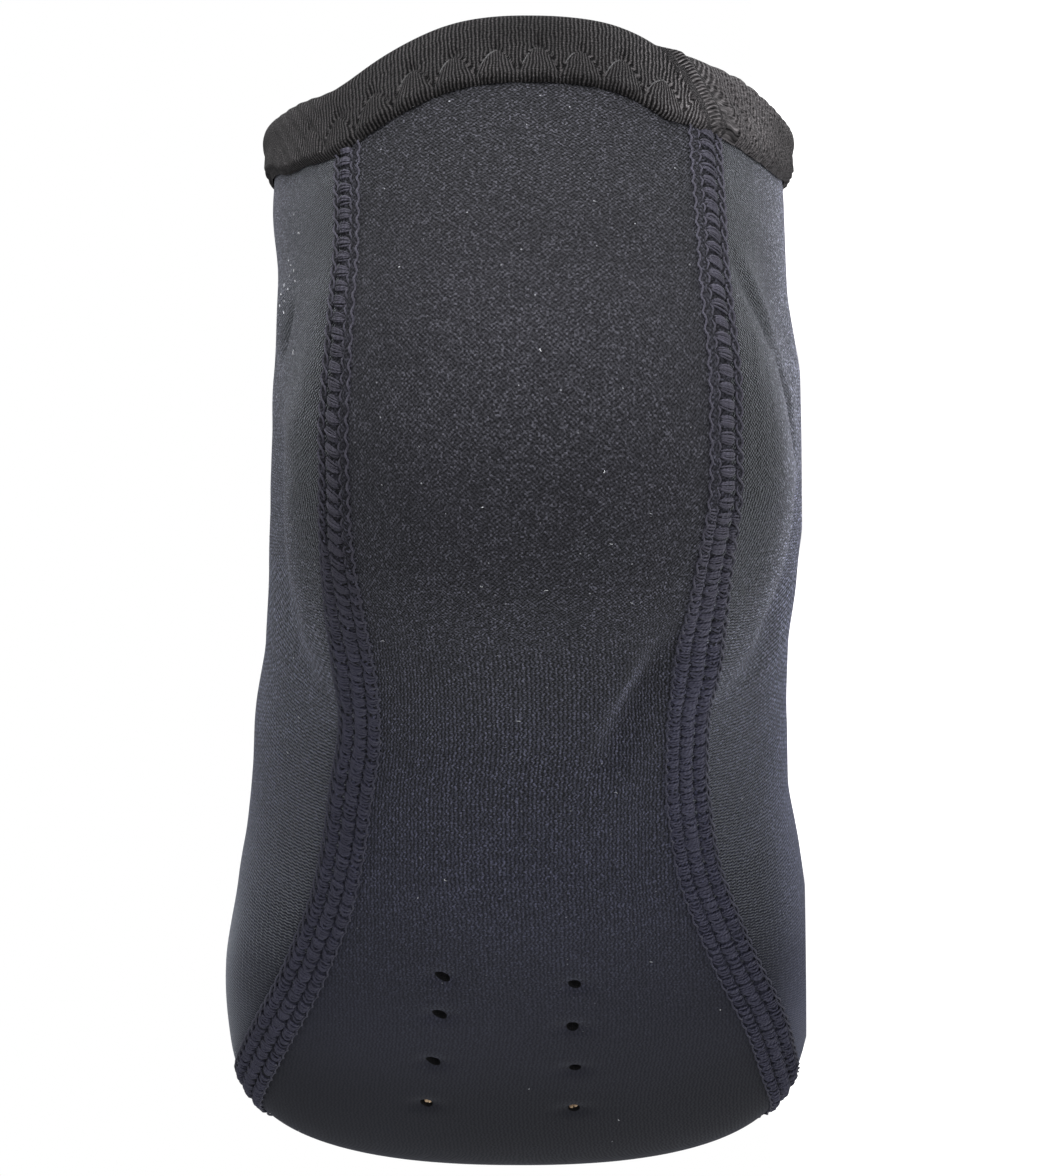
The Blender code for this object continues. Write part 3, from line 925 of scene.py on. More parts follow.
class Effects:
    """The node groups: knit face, rib knit, thread twist, soft tone and lint specks, each built once."""

    def __init__(self) -> None:
        """Build every group."""
        self.knit = self._knit_face()
        self.rib = self._rib_knit()
        self.twist = self._thread_twist()
        self.tone = self._soft_tone()
        self.lint = self._lint_specks()

    @staticmethod
    def _knit_face() -> Tree:
        """Return the jersey face: stitches in staggered courses, with stray fuzz."""
        group = EffectGroup(
            "knit_face",
            (
                ("Cloth", VECTOR, None), ("Wale", FLOAT, 0.7), ("Course", FLOAT, 1.2),
                ("Wander", FLOAT, 0.1), ("Close", FLOAT, 0.0),
            ),
            ("Height", "Yarn", "Fleck"),
        )
        bench, given, out = group.start()
        wander = bench.noise(given.outputs["Cloth"], 1.0, 3.0)
        centred = bench.node("ShaderNodeVectorMath", operation="SUBTRACT")
        bench.feed(centred.inputs[0], wander.outputs["Color"])
        centred.inputs[1].default_value = (0.5, 0.5, 0.5)
        scaled = bench.node("ShaderNodeVectorMath", operation="SCALE")
        bench.feed(scaled.inputs[0], centred.outputs[0])
        bench.feed(scaled.inputs["Scale"], given.outputs["Wander"])
        moved = bench.node("ShaderNodeVectorMath", operation="ADD")
        bench.feed(moved.inputs[0], given.outputs["Cloth"])
        bench.feed(moved.inputs[1], scaled.outputs[0])
        x, y, _ = bench.axes(moved.outputs[0])
        across = bench.times(bench.math("DIVIDE", x, given.outputs["Wale"]), FULL_TURN)
        along = bench.times(bench.math("DIVIDE", y, given.outputs["Course"]), FULL_TURN)
        course = bench.math("COSINE", bench.times(along, 2.0))
        lattice = bench.times(bench.math("COSINE", across), course)
        tilted = bench.math("COSINE", bench.math("ADD", across, 0.8))
        lean = bench.times(tilted, bench.math("COSINE", along))
        opened = bench.sum((lattice, 0.95), (lean, 0.15), (course, 0.12))
        sway = bench.times(bench.math("SINE", along), 0.95)
        column = bench.math("COSINE", bench.math("ADD", across, sway))
        stitch = bench.blend(given.outputs["Close"], opened, column)
        fuzz = bench.math("SUBTRACT", bench.noise(given.outputs["Cloth"], 2.6, 4.0).outputs[0], 0.5)
        rough = bench.sum((stitch, 1.0), (fuzz, 4.2))
        bench.feed(out.inputs["Height"], bench.times(rough, 0.5))
        bench.feed(out.inputs["Yarn"], bench.spread(rough, -0.75, 0.5))
        cells = bench.node("ShaderNodeTexWhiteNoise", noise_dimensions="2D")
        snapped = bench.node("ShaderNodeVectorMath", operation="SNAP")
        bench.feed(snapped.inputs[0], given.outputs["Cloth"])
        snapped.inputs[1].default_value = (0.26, 0.26, 1.0)
        bench.feed(cells.inputs["Vector"], snapped.outputs[0])
        bench.feed(out.inputs["Fleck"], bench.math("POWER", cells.outputs["Value"], 4.0))
        return bench.tree

    @staticmethod
    def _rib_knit() -> Tree:
        """Return the tape's face: fine ribs across it, each a row of small stitches."""
        group = EffectGroup(
            "rib_knit",
            (("Cloth", VECTOR, None), ("Rib", FLOAT, 0.45), ("Stitch", FLOAT, 0.5), ("Wander", FLOAT, 0.1)),
            ("Height", "Yarn"),
        )
        bench, given, out = group.start()
        x, y, _ = bench.axes(given.outputs["Cloth"])
        drift = bench.math("SUBTRACT", bench.noise(given.outputs["Cloth"], 0.55, 2.0).outputs[0], 0.5)
        drawn = bench.math("ADD", x, bench.times(drift, given.outputs["Wander"]))
        rib = bench.math("COSINE", bench.times(bench.math("DIVIDE", drawn, given.outputs["Rib"]), FULL_TURN))
        bead = bench.math("COSINE", bench.times(bench.math("DIVIDE", y, given.outputs["Stitch"]), FULL_TURN))
        fuzz = bench.math("SUBTRACT", bench.noise(given.outputs["Cloth"], 3.2, 3.0).outputs[0], 0.5)
        stitch = bench.math("ADD", rib, bench.times(bead, 0.10))
        rough = bench.math("ADD", stitch, bench.times(fuzz, 2.6))
        bench.feed(out.inputs["Height"], bench.times(rough, 0.5))
        bench.feed(out.inputs["Yarn"], bench.spread(rough, -0.6, 1.2))
        return bench.tree

    @staticmethod
    def _thread_twist() -> Tree:
        """Return the turns of a twisted thread, from length along it and share round it."""
        inputs = (("Cloth", VECTOR, None), ("Lay", FLOAT, 0.5))
        bench, given, out = EffectGroup("thread_twist", inputs, ("Height", "Yarn")).start()
        x, y, _ = bench.axes(given.outputs["Cloth"])
        along = bench.math("DIVIDE", x, given.outputs["Lay"])
        turns = bench.math("ADD", along, bench.times(y, 2.0))
        wave = bench.math("SINE", bench.times(turns, FULL_TURN))
        bench.feed(out.inputs["Height"], bench.times(wave, 0.5))
        bench.feed(out.inputs["Yarn"], bench.spread(wave, -1.0, 0.8))
        return bench.tree

    @staticmethod
    def _soft_tone() -> Tree:
        """Return slow changes of tone over the cloth."""
        group = EffectGroup("soft_tone", (("Place", VECTOR, None), ("Scale", FLOAT, 40.0)), ("Tone",))
        bench, given, out = group.start()
        slow = bench.noise(given.outputs["Place"], given.outputs["Scale"], 3.0)
        bench.feed(out.inputs["Tone"], bench.spread(slow.outputs[0], 0.25, 0.75))
        return bench.tree

    @staticmethod
    def _lint_specks() -> Tree:
        """Return a mask of tiny scattered specks of lint."""
        group = EffectGroup(
            "lint_specks",
            (("Place", VECTOR, None), ("Scale", FLOAT, 260.0), ("Share", FLOAT, 0.1), ("Size", FLOAT, 0.03)),
            ("Mask",),
        )
        bench, given, out = group.start()
        cells = bench.node("ShaderNodeTexVoronoi")
        bench.feed(cells.inputs["Vector"], given.outputs["Place"])
        bench.feed(cells.inputs["Scale"], given.outputs["Scale"])
        pick = bench.node("ShaderNodeSeparateColor")
        bench.feed(pick.inputs[0], cells.outputs["Color"])
        chosen = bench.math("LESS_THAN", pick.outputs[0], given.outputs["Share"])
        reach = bench.times(given.outputs["Size"], bench.math("ADD", pick.outputs[1], 0.4))
        near = bench.math("LESS_THAN", cells.outputs["Distance"], reach)
        strength = bench.math("MULTIPLY_ADD", pick.outputs[2], 0.6)
        bench.feed(strength.node.inputs[2], 0.3)
        bench.feed(out.inputs["Mask"], bench.times(chosen, near, strength))
        return bench.tree


@dataclass
class Finish:
    """A finish under way: a material with its bench, its shader and what the surface gives."""

    material: Material
    bench: NodeBench
    shader: Node
    cloth: Socket
    place: Socket

    @classmethod
    def start(cls, name: str, **sockets: object) -> "Finish":
        """Begin a material.

        Args:
            name: Name of the material.
            sockets: Values for the shader's own sockets, with _ for spaces.

        Returns:
            The finish, with its shader placed.
        """
        material = bpy.data.materials.new(name)
        material.use_nodes = True
        bench = NodeBench(material.node_tree)
        shader = material.node_tree.nodes["Principled BSDF"]
        for socket, value in sockets.items():
            shader.inputs[socket.replace("_", " ")].default_value = value
        surface = bench.node("ShaderNodeTexCoord")
        return cls(material, bench, shader, surface.outputs["UV"], surface.outputs["Object"])

    def effect(self, tree: Tree, **inputs: object) -> Node:
        """Place a shared effect with its own values."""
        made = self.bench.node("ShaderNodeGroup", node_tree=tree)
        for name, value in inputs.items():
            self.bench.feed(made.inputs[name], value)
        return made

    def bump(self, height: Socket, depth_mm: float, strength: float = 1.0) -> None:
        """Give the shader a bump from a height."""
        made = self.bench.node("ShaderNodeBump")
        made.inputs["Strength"].default_value = strength
        made.inputs["Distance"].default_value = depth_mm * MM
        self.bench.feed(made.inputs["Height"], height)
        self.bench.feed(self.shader.inputs["Normal"], made.outputs[0])

    def colour(self, value: Socket) -> None:
        """Give the shader its colour."""
        self.bench.feed(self.shader.inputs["Base Color"], value)

    def roughness(self, value: Socket) -> None:
        """Give the shader its roughness."""
        self.bench.feed(self.shader.inputs["Roughness"], value)


@dataclass(frozen=True)
class KnitFinish:
    """Black jersey over neoprene: yarn and gap colours, stitch sizes in millimetres, the fuzz's sheen, and
    painted light, shade and sheen by place, crease and facing.
    """

    name: str
    yarn: Colour = (0.0268, 0.0266, 0.0322)
    gap: Colour = (0.0022, 0.0021, 0.0028)
    wale: float = 0.68
    course: float = 1.26
    depth: float = 0.17
    sheen: float = 0.05
    sheen_spread: float = 0.45
    lint_share: float = 0.60
    wander: float = 0.85
    grain: float = 5.6
    pit_painted_shade: bool = False
    # Painted light and shade by place: these ramps make the cloth's colour lighter or darker along the foot,
    # up it and across it, where the light falls brighter or dimmer.
    painted_light_ahead: Pairs = (
        (-0.115, 1.0), (-0.100, 0.95), (-0.075, 0.95), (-0.02, 1.07), (0.004, 1.10),
        (0.030, 0.94), (0.056, 0.78), (0.080, 0.46), (0.115, 0.34),
    )
    painted_light_up: Pairs = (
        (-0.042, 1.14), (-0.030, 1.06), (-0.010, 0.82), (0.020, 0.59), (0.045, 0.52),
    )
    painted_light_aside: Pairs = ((0.0, 1.0), (0.082, 1.0))
    # Painted sheen by facing: the colour is made lighter where the cloth is seen edge-on; the upper's own
    # ramp also darkens it where it faces the eye.
    painted_sheen: Pairs = (
        (0.0, 1.0), (0.62, 1.0), (0.74, 1.15), (0.84, 1.8), (0.92, 2.6), (1.0, 3.2),
    )
    # Painted shade in the sharp creases' troughs and painted light on their ridges, from the fold depth.
    painted_crease_shade: Pairs = (
        (-2.0, 0.38), (-1.0, 0.55), (-0.4, 0.8), (0.0, 1.0), (0.4, 1.22), (0.8, 1.4),
    )
    soft_ahead: Pairs = (
        (-0.115, 0.0), (-0.05, 0.08), (0.0, 0.38), (0.03, 0.66), (0.06, 0.88), (0.115, 0.94),
    )
    soft_up: Pairs = (
        (-0.045, 0.30), (-0.030, 0.44), (-0.010, 0.48), (0.012, 0.18), (0.030, 0.0), (0.045, 0.0),
    )
    close_ends: tuple[float, float] = (-0.090, -0.050)
    heel_ends: tuple[float, float] = (-0.10, -0.07)
    # Painted cool shade: a bluish tint that grows from the heel towards the toe.
    painted_cool_shade_ends: tuple[float, float] = (-0.125, 0.01)
    painted_cool_shade: Colour = (1.0, 1.05, 1.38)
    lint: Colour = (0.46, 0.47, 0.51)
    soft_yarn: float = 0.6

    def make(self, effects: Effects) -> Material:
        """Return the material.

        Args:
            effects: The shared node groups.

        Returns:
            A knit material that follows the cloth map and lies closer towards the toe.
        """
        finish = Finish.start(
            self.name,
            Sheen_Weight=self.sheen,
            Sheen_Roughness=self.sheen_spread,
            Sheen_Tint=(0.86, 0.92, 1.0, 1.0),
            Specular_IOR_Level=0.15,
        )
        bench = finish.bench
        x, y, z = bench.axes(finish.place)
        heel = bench.times(bench.ramp(x, self.soft_up), bench.spread(y, *self.heel_ends, 1.0, 0.0))
        soft = bench.math("MAXIMUM", bench.ramp(y, self.soft_ahead), heel)
        firm = bench.math("SUBTRACT", 1.0, soft)
        knit = finish.effect(
            effects.knit,
            Cloth=finish.cloth,
            Wale=self.wale,
            Course=self.course,
            Wander=self.wander,
            Close=bench.spread(y, *self.close_ends),
        )
        tone = finish.effect(effects.tone, Place=finish.place, Scale=38.0)
        lint = finish.effect(effects.lint, Place=finish.place, Scale=640.0, Share=self.lint_share, Size=0.060)
        yarn = bench.colour_mix(tone.outputs[0], tinted(self.yarn, 0.86), tinted(self.yarn, 1.08))
        yarn = bench.colour_mix(bench.times(knit.outputs["Fleck"], firm), yarn, tinted(self.yarn, self.grain))
        # Painted cool shade: the yarn is made bluer from the heel towards the toe.
        yarn = bench.colour_mix(bench.spread(y, *self.painted_cool_shade_ends), yarn, self.painted_cool_shade, "MULTIPLY")
        # Painted light and shade: the yarn's colour is scaled by place, by the sharp creases' depth and by
        # facing.
        fold = bench.node("ShaderNodeAttribute", attribute_name="fold")
        edge_on = bench.node("ShaderNodeLayerWeight")
        tones = bench.times(
            bench.ramp(y, self.painted_light_ahead),
            bench.ramp(x, self.painted_light_up),
            bench.ramp(z, self.painted_light_aside),
            bench.ramp(fold.outputs["Fac"], self.painted_crease_shade),
            bench.ramp(edge_on.outputs["Facing"], self.painted_sheen),
        )
        share = bench.blend(soft, knit.outputs["Yarn"], self.soft_yarn)
        cloth = bench.colour_mix(share, self.gap, bench.shade(yarn, tones))
        # Painted shade: the needle pits are darkened towards black.
        if self.pit_painted_shade:
            pit = bench.node("ShaderNodeAttribute", attribute_name="pit")
            cloth = bench.colour_mix(pit.outputs["Fac"], cloth, tinted(self.gap, 0.3))
        finish.colour(bench.colour_mix(bench.times(lint.outputs[0], firm), cloth, self.lint))
        finish.roughness(bench.spread(knit.outputs["Yarn"], 0.0, 1.0, 0.95, 0.78))
        height = bench.times(knit.outputs["Height"], bench.spread(soft, 0.1, 0.9, 1.0, 0.08))
        finish.bump(height, self.depth)
        return finish.material


@dataclass(frozen=True)
class RibFinish:
    """Ribbed tape: yarn and gap colours and the ribs' sizes in millimetres."""

    name: str = "collar_tape_rib"
    yarn: Colour = (0.0330, 0.0308, 0.0318)
    gap: Colour = (0.0012, 0.0011, 0.0012)
    lint: Colour = (0.40, 0.40, 0.42)
    rib: float = 0.48
    stitch: float = 0.44
    depth: float = 0.26
    pills: Pairs = (
        (0.0, 0.75), (0.008, 0.6), (0.018, 0.0), (0.056, 0.0), (0.066, 0.55), (0.082, 0.8),
    )
    # Painted light: the tape is made lighter towards the floor side and, less, towards the upper side.
    painted_light_aside: Pairs = (
        (0.0, 4.0), (0.012, 3.0), (0.022, 1.3), (0.032, 1.0), (0.052, 1.0), (0.066, 1.6), (0.082, 1.75),
    )

    def make(self, effects: Effects) -> Material:
        """Return the material.

        Args:
            effects: The shared node groups.

        Returns:
            A rib-knit material that follows the cloth map.
        """
        finish = Finish.start(
            self.name,
            Sheen_Weight=0.04,
            Sheen_Roughness=0.40,
            Sheen_Tint=(0.96, 0.95, 1.0, 1.0),
            Specular_IOR_Level=0.10,
        )
        bench = finish.bench
        _, _, z = bench.axes(finish.place)
        rib = finish.effect(effects.rib, Cloth=finish.cloth, Rib=self.rib, Stitch=self.stitch, Wander=0.5)
        tone = finish.effect(effects.tone, Place=finish.place, Scale=90.0)
        lint = finish.effect(effects.lint, Place=finish.place, Scale=600.0, Share=0.25, Size=0.045)
        pilled = bench.ramp(z, self.pills)
        pills = bench.noise(finish.cloth, 2.2, 3.0).outputs[0]
        face = bench.blend(pilled, rib.outputs["Yarn"], bench.spread(pills, 0.3, 0.7))
        yarn = bench.colour_mix(tone.outputs[0], tinted(self.yarn, 0.75), tinted(self.yarn, 1.25))
        # Painted light by side.
        yarn = bench.shade(yarn, bench.ramp(z, self.painted_light_aside))
        fuzz = bench.noise(finish.cloth, 4.6, 2.0).outputs[0]
        yarn = bench.shade(yarn, bench.spread(fuzz, 0.32, 0.70, 0.45, 1.75))
        cloth = bench.colour_mix(face, self.gap, yarn)
        finish.colour(bench.colour_mix(lint.outputs[0], cloth, self.lint))
        finish.roughness(bench.spread(rib.outputs["Yarn"], 0.0, 1.0, 0.9, 0.62))
        finish.bump(bench.blend(pilled, rib.outputs["Height"], bench.times(pills, 2.0)), self.depth)
        return finish.material


# Painted light on the seam, brighter on the floor side than on the upper side, for its bed and its threads
# alike.
SEAM_PAINTED_LIGHT = ((0.0, 1.30), (0.02, 1.24), (0.04, 1.04), (0.082, 1.04))


@dataclass(frozen=True)
class ThreadFinish:
    """Twisted sewing thread: its two tones and gloss."""

    name: str
    light: Colour = (0.0610, 0.0610, 0.0980)
    dark: Colour = (0.0230, 0.0230, 0.0410)
    # Painted light: the threads are lighter and warmer towards the heel.
    painted_warm_light: Colour = (1.22, 1.16, 0.98)
    painted_warm_light_ends: tuple[float, float] = (-0.100, -0.045)
    painted_light_aside: Pairs = SEAM_PAINTED_LIGHT
    roughness: float = 0.55
    gloss: float = 0.25

    def make(self, effects: Effects) -> Material:
        """Return the material.

        Args:
            effects: The shared node groups.

        Returns:
            A thread material whose twist follows the length of the thread.
        """
        finish = Finish.start(
            self.name,
            Sheen_Weight=0.08,
            Sheen_Roughness=0.40,
            Sheen_Tint=(0.85, 0.88, 1.0, 1.0),
            Specular_IOR_Level=self.gloss,
        )
        twist = finish.effect(effects.twist, Cloth=finish.cloth, Lay=0.55)
        tone = finish.effect(effects.tone, Place=finish.place, Scale=500.0)
        bench = finish.bench
        _, y, z = bench.axes(finish.place)
        thread = bench.colour_mix(twist.outputs["Yarn"], self.dark, self.light)
        thread = bench.colour_mix(tone.outputs[0], thread, tinted(self.light, 0.6))
        # Painted light: the threads are made lighter and warmer towards the heel, and lighter towards the
        # floor side.
        fade = bench.colour_mix(bench.spread(y, *self.painted_warm_light_ends), self.painted_warm_light, (1.0, 1.0, 1.0))
        thread = bench.colour_mix(1.0, thread, fade, "MULTIPLY")
        finish.colour(bench.shade(thread, bench.ramp(z, self.painted_light_aside)))
        duller, duller_still = self.roughness - 0.08, self.roughness + 0.12
        finish.roughness(bench.spread(tone.outputs[0], 0.0, 1.0, duller, duller_still))
        finish.bump(twist.outputs["Height"], 0.05)
        return finish.material


@dataclass(frozen=True)
class FoamFinish:
    """Cut edge of the neoprene: a fine closed-cell foam."""

    name: str = "neoprene_cut_edge"
    light: Colour = (0.014, 0.014, 0.015)
    dark: Colour = (0.004, 0.004, 0.005)

    def make(self, effects: Effects) -> Material:
        """Return the material.

        Args:
            effects: The shared node groups.

        Returns:
            A foam material with small cells.
        """
        finish = Finish.start(self.name, Specular_IOR_Level=0.2)
        cells = finish.bench.node("ShaderNodeTexVoronoi")
        finish.bench.feed(cells.inputs["Vector"], finish.place)
        cells.inputs["Scale"].default_value = 4500.0
        tone = finish.effect(effects.tone, Place=finish.place, Scale=600.0)
        cell = finish.bench.spread(cells.outputs["Distance"], 0.1, 0.6)
        finish.colour(finish.bench.colour_mix(cell, self.light, self.dark))
        finish.roughness(finish.bench.spread(tone.outputs[0], 0.0, 1.0, 0.8, 0.95))
        finish.bump(cells.outputs["Distance"], 0.05)
        return finish.material


@dataclass(frozen=True)
class FleckFinish:
    """A pale bit of lint or grit, mottled between two tones."""

    name: str
    light: Colour
    dark: Colour

    def make(self, effects: Effects) -> Material:
        """Return the material.

        Args:
            effects: The shared node groups.

        Returns:
            A dull mottled material.
        """
        finish = Finish.start(self.name, Specular_IOR_Level=0.2)
        tone = finish.effect(effects.tone, Place=finish.place, Scale=900.0)
        finish.colour(finish.bench.colour_mix(tone.outputs[0], self.dark, self.light))
        finish.roughness(finish.bench.spread(tone.outputs[0], 0.0, 1.0, 0.75, 0.95))
        return finish.material


@dataclass(frozen=True)
class FloorFinish:
    """Plain pale light table with the faintest mottling."""

    name: str = "pale_floor"
    glow: float = 0.70
    glow_ahead: float = 0.38
    glow_seen: float = 0.95
    glow_ends: tuple[float, float] = (-0.08, 0.10)
    light: Colour = (0.93, 0.93, 0.93)
    dark: Colour = (0.91, 0.91, 0.915)

    def make(self, effects: Effects) -> Material:
        """Return the material.

        Args:
            effects: The shared node groups.

        Returns:
            A matt floor material.
        """
        finish = Finish.start(
            self.name, Roughness=1.0, Specular_IOR_Level=0.0, Emission_Color=(1.0, 1.0, 1.0, 1.0)
        )
        bench = finish.bench
        _, y, _ = bench.axes(finish.place)
        light = bench.spread(y, *self.glow_ends, self.glow, self.glow_ahead)
        path = bench.node("ShaderNodeLightPath")
        strength = bench.blend(path.outputs["Is Camera Ray"], light, self.glow_seen)
        bench.feed(finish.shader.inputs["Emission Strength"], strength)
        tone = finish.effect(effects.tone, Place=finish.place, Scale=3.0)
        finish.colour(bench.colour_mix(tone.outputs[0], self.dark, self.light))
        return finish.material


@dataclass
class FinishBook:
    """Every finish of the sock, made once."""

    effects: Effects
    sole: Material = field(init=False)
    upper: Material = field(init=False)
    lining: Material = field(init=False)
    foam: Material = field(init=False)
    seam_bed: Material = field(init=False)
    seam_thread: Material = field(init=False)
    tape: Material = field(init=False)
    tape_thread: Material = field(init=False)
    lint: Material = field(init=False)
    grit: Material = field(init=False)
    floor: Material = field(init=False)

    def __post_init__(self) -> None:
        """Make the materials."""
        self.sole = KnitFinish("sole_knit").make(self.effects)
        self.upper = KnitFinish(
            "upper_knit",
            yarn=(0.0295, 0.0297, 0.0342),
            gap=(0.0030, 0.0030, 0.0038),
            wale=0.56,
            course=1.0,
            wander=0.42,
            depth=0.50,
            sheen=0.30,
            sheen_spread=0.30,
            lint_share=0.8,
            grain=5.5,
            # Painted light and shade for the upper: by place along the foot, up it and towards its floor
            # side, and painted sheen by facing.
            painted_light_ahead=(
                (-0.115, 0.54), (-0.102, 0.56), (-0.096, 0.72), (-0.088, 0.98), (-0.078, 1.22),
                (-0.060, 1.15), (-0.040, 0.96), (0.004, 0.82), (0.030, 0.67), (0.056, 0.58),
                (0.080, 0.58), (0.115, 0.62),
            ),
            painted_light_up=((-0.042, 1.0), (-0.020, 0.94), (0.0, 0.95), (0.025, 1.16), (0.045, 1.18)),
            painted_light_aside=(
                (0.0, 3.2), (0.002, 2.7), (0.0035, 2.0), (0.005, 1.48), (0.007, 1.15), (0.012, 1.1),
                (0.030, 0.95), (0.060, 1.06), (0.082, 1.05),
            ),
            painted_sheen=(
                (0.0, 0.62), (0.30, 0.62), (0.42, 0.74), (0.52, 1.05), (0.62, 1.75), (0.70, 2.4),
                (0.78, 2.9), (0.88, 3.4), (1.0, 4.4),
            ),
        ).make(self.effects)
        self.lining = KnitFinish(
            "lining_knit",
            yarn=(0.016, 0.016, 0.017),
            sheen=0.1,
            lint_share=0.0,
            painted_sheen=((0.0, 1.0), (1.0, 1.0)),
        ).make(self.effects)
        self.foam = FoamFinish().make(self.effects)
        self.seam_bed = KnitFinish(
            "seam_bed_knit",
            yarn=(0.0215, 0.0212, 0.0275),
            sheen=0.02,
            lint_share=0.0,
            # Painted shade in the needle pits and painted light towards the floor side.
            pit_painted_shade=True,
            painted_light_aside=SEAM_PAINTED_LIGHT,
        ).make(self.effects)
        self.seam_thread = ThreadFinish("seam_thread_twist").make(self.effects)
        self.tape = RibFinish().make(self.effects)
        self.tape_thread = ThreadFinish(
            "tape_thread_twist",
            light=(0.115, 0.113, 0.116),
            dark=(0.035, 0.034, 0.036),
            painted_warm_light=(1.0, 1.0, 1.0),
        ).make(self.effects)
        self.lint = FleckFinish("lint_fluff", (0.62, 0.63, 0.66), (0.34, 0.35, 0.38)).make(self.effects)
        self.grit = FleckFinish("sand_grit", (0.66, 0.50, 0.33), (0.28, 0.19, 0.12)).make(self.effects)
        self.floor = FloorFinish().make(self.effects)


# The sock's own pieces.


@dataclass
class ClothPanel:
    """A knit-faced neoprene panel cut to lie on the last."""

    skin: ClothSkin
    finishes: FinishBook
    edge_drop: float = 1.4
    edge_gap: float = 0.003
    course_slope: float = 0.17
    edge_crowding: float = 0.0
    drawn_to: float = 9.3
    drawn_over: float = 1.6
    drawn_out: float = 0.45
    gathered: float = 0.18
    tip_from: float = 1.2
    tip_over: float = 1.8
    across: int = 84
    along: int = 300

    def spacing(self, first: float, degrees: float) -> Array:
        """Return base rows at even steps of length along one meridian.

        Args:
            first: Row that the panel starts from.
            degrees: Angle of the meridian.

        Returns:
            One row for each line of the grid.
        """
        rows = np.linspace(first, self.skin.last.collar, 1200)
        points = self.skin.last.point(rows, np.full(rows.shape, math.radians(degrees)))
        length = run(points)
        return np.interp(np.linspace(0.0, length[-1], self.along + 1), length, rows)

    def wall_rows(self, base: Array, angle: Array) -> Array:
        """Return rows stretched to end at the wall's edge under the collar tape."""
        return base / self.skin.last.collar * self.skin.last.row_below_collar(angle, self.edge_drop)

    def cloth_map(self, points: Array, row: Array) -> Array:
        """Return millimetres of cloth across and along from the panel's middle.

        Args:
            points: Points by line and column, in millimetres.
            row: Rows of the points, because the knit is drawn out along the arch and gathered across it.

        Returns:
            The two lengths for each point.
        """
        drawn = 1.0 - limited((row - self.drawn_to) / self.drawn_over)
        across = run(points, 1)
        across = (across - across[:, self.across // 2, None]) * (1.0 + self.gathered * drawn)
        steps = np.linalg.norm(np.diff(points, axis=0), axis=-1) / (1.0 + self.drawn_out * drawn[1:])
        along = np.concatenate([np.zeros((1, points.shape[1])), steps.cumsum(axis=0)])
        return np.stack([across, along - along[self.along // 2]], axis=-1)

    def lay_cloth(self, name: str, base: Array, left: Array, right: Array, over_top: bool) -> Piece:
        """Add a grid and lay it on the skin between the two seams.

        Args:
            name: Name of the piece.
            base: Base row of each line.
            left: Angle of the left edge on each line, without sign.
            right: Angle of the right edge on each line, without sign.
            over_top: Whether the panel goes over the instep rather than under the sole.

        Returns:
            The piece.
        """
        piece = MeshBench.grid(name, self.across, self.along)
        across, along = MeshBench.shares(piece)
        line = np.round(along * self.along).astype(int)
        column = np.round(across * self.across).astype(int)
        share = np.linspace(0.0, 1.0, self.across + 1)[None, :]
        share = share - self.edge_crowding * np.sin(FULL_TURN * share) / FULL_TURN
        if over_top:
            angle = -right[:, None] - (FULL_TURN - left - right)[:, None] * share
        else:
            angle = left[:, None] - (left + right)[:, None] * share
        row = self.wall_rows(np.repeat(base[:, None], self.across + 1, axis=1), angle)
        points = self.skin.shoe_point(row, angle)
        MeshBench.set_points(piece, self.skin.last.lay_down(points)[line, column])
        cloth = self.cloth_map(points, row)
        if over_top:
            slanted = cloth[..., 1] - self.course_slope * np.abs(cloth[..., 0])
            cloth = np.stack([slanted, cloth[..., 0]], axis=-1)
        else:
            cloth = self.toe_map(cloth, points, row, angle)
        MeshBench.set_cloth_map(piece, cloth[line, column])
        # The sharp creases' depth, kept on the upper for painted shade in the troughs and painted light on
        # the ridges.
        if over_top:
            MeshBench.set_value(piece, "fold", self.skin.fold(row, angle)[line, column])
        MeshBench.merge(piece)
        return piece

    def toe_map(self, cloth: Array, points: Array, row: Array, angle: Array) -> Array:
        """Return the cloth map with the toe's tip laid out flat round its pole.

        Args:
            cloth: The map so far.
            points: Shoe points by line and column.
            row: Rows by line and column.
            angle: Angles by line and column.

        Returns:
            The mended map.
        """
        reach = run(points)
        tip = cloth[0, self.across // 2, 1]
        polar = np.stack([-reach * np.sin(angle), tip + reach * np.cos(angle)], axis=-1)
        share = eased(limited((row - self.tip_from) / self.tip_over))[..., None]
        return polar * (1.0 - share) + cloth * share

    def finish(self, piece: Piece, face: Material, node: str, slot: str) -> None:
        """Thicken, dress and hand over a panel.

        Args:
            piece: The laid cloth.
            face: Material of its outside.
            node: CAD node that it stands for.
            slot: Material slot in the record; not used.
        """
        MeshBench.give(piece, face, self.finishes.lining, self.finishes.foam)
        MeshBench.thicken(piece, self.skin.last.wall, 1, 2)
        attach(piece, BODY)
        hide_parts(node)


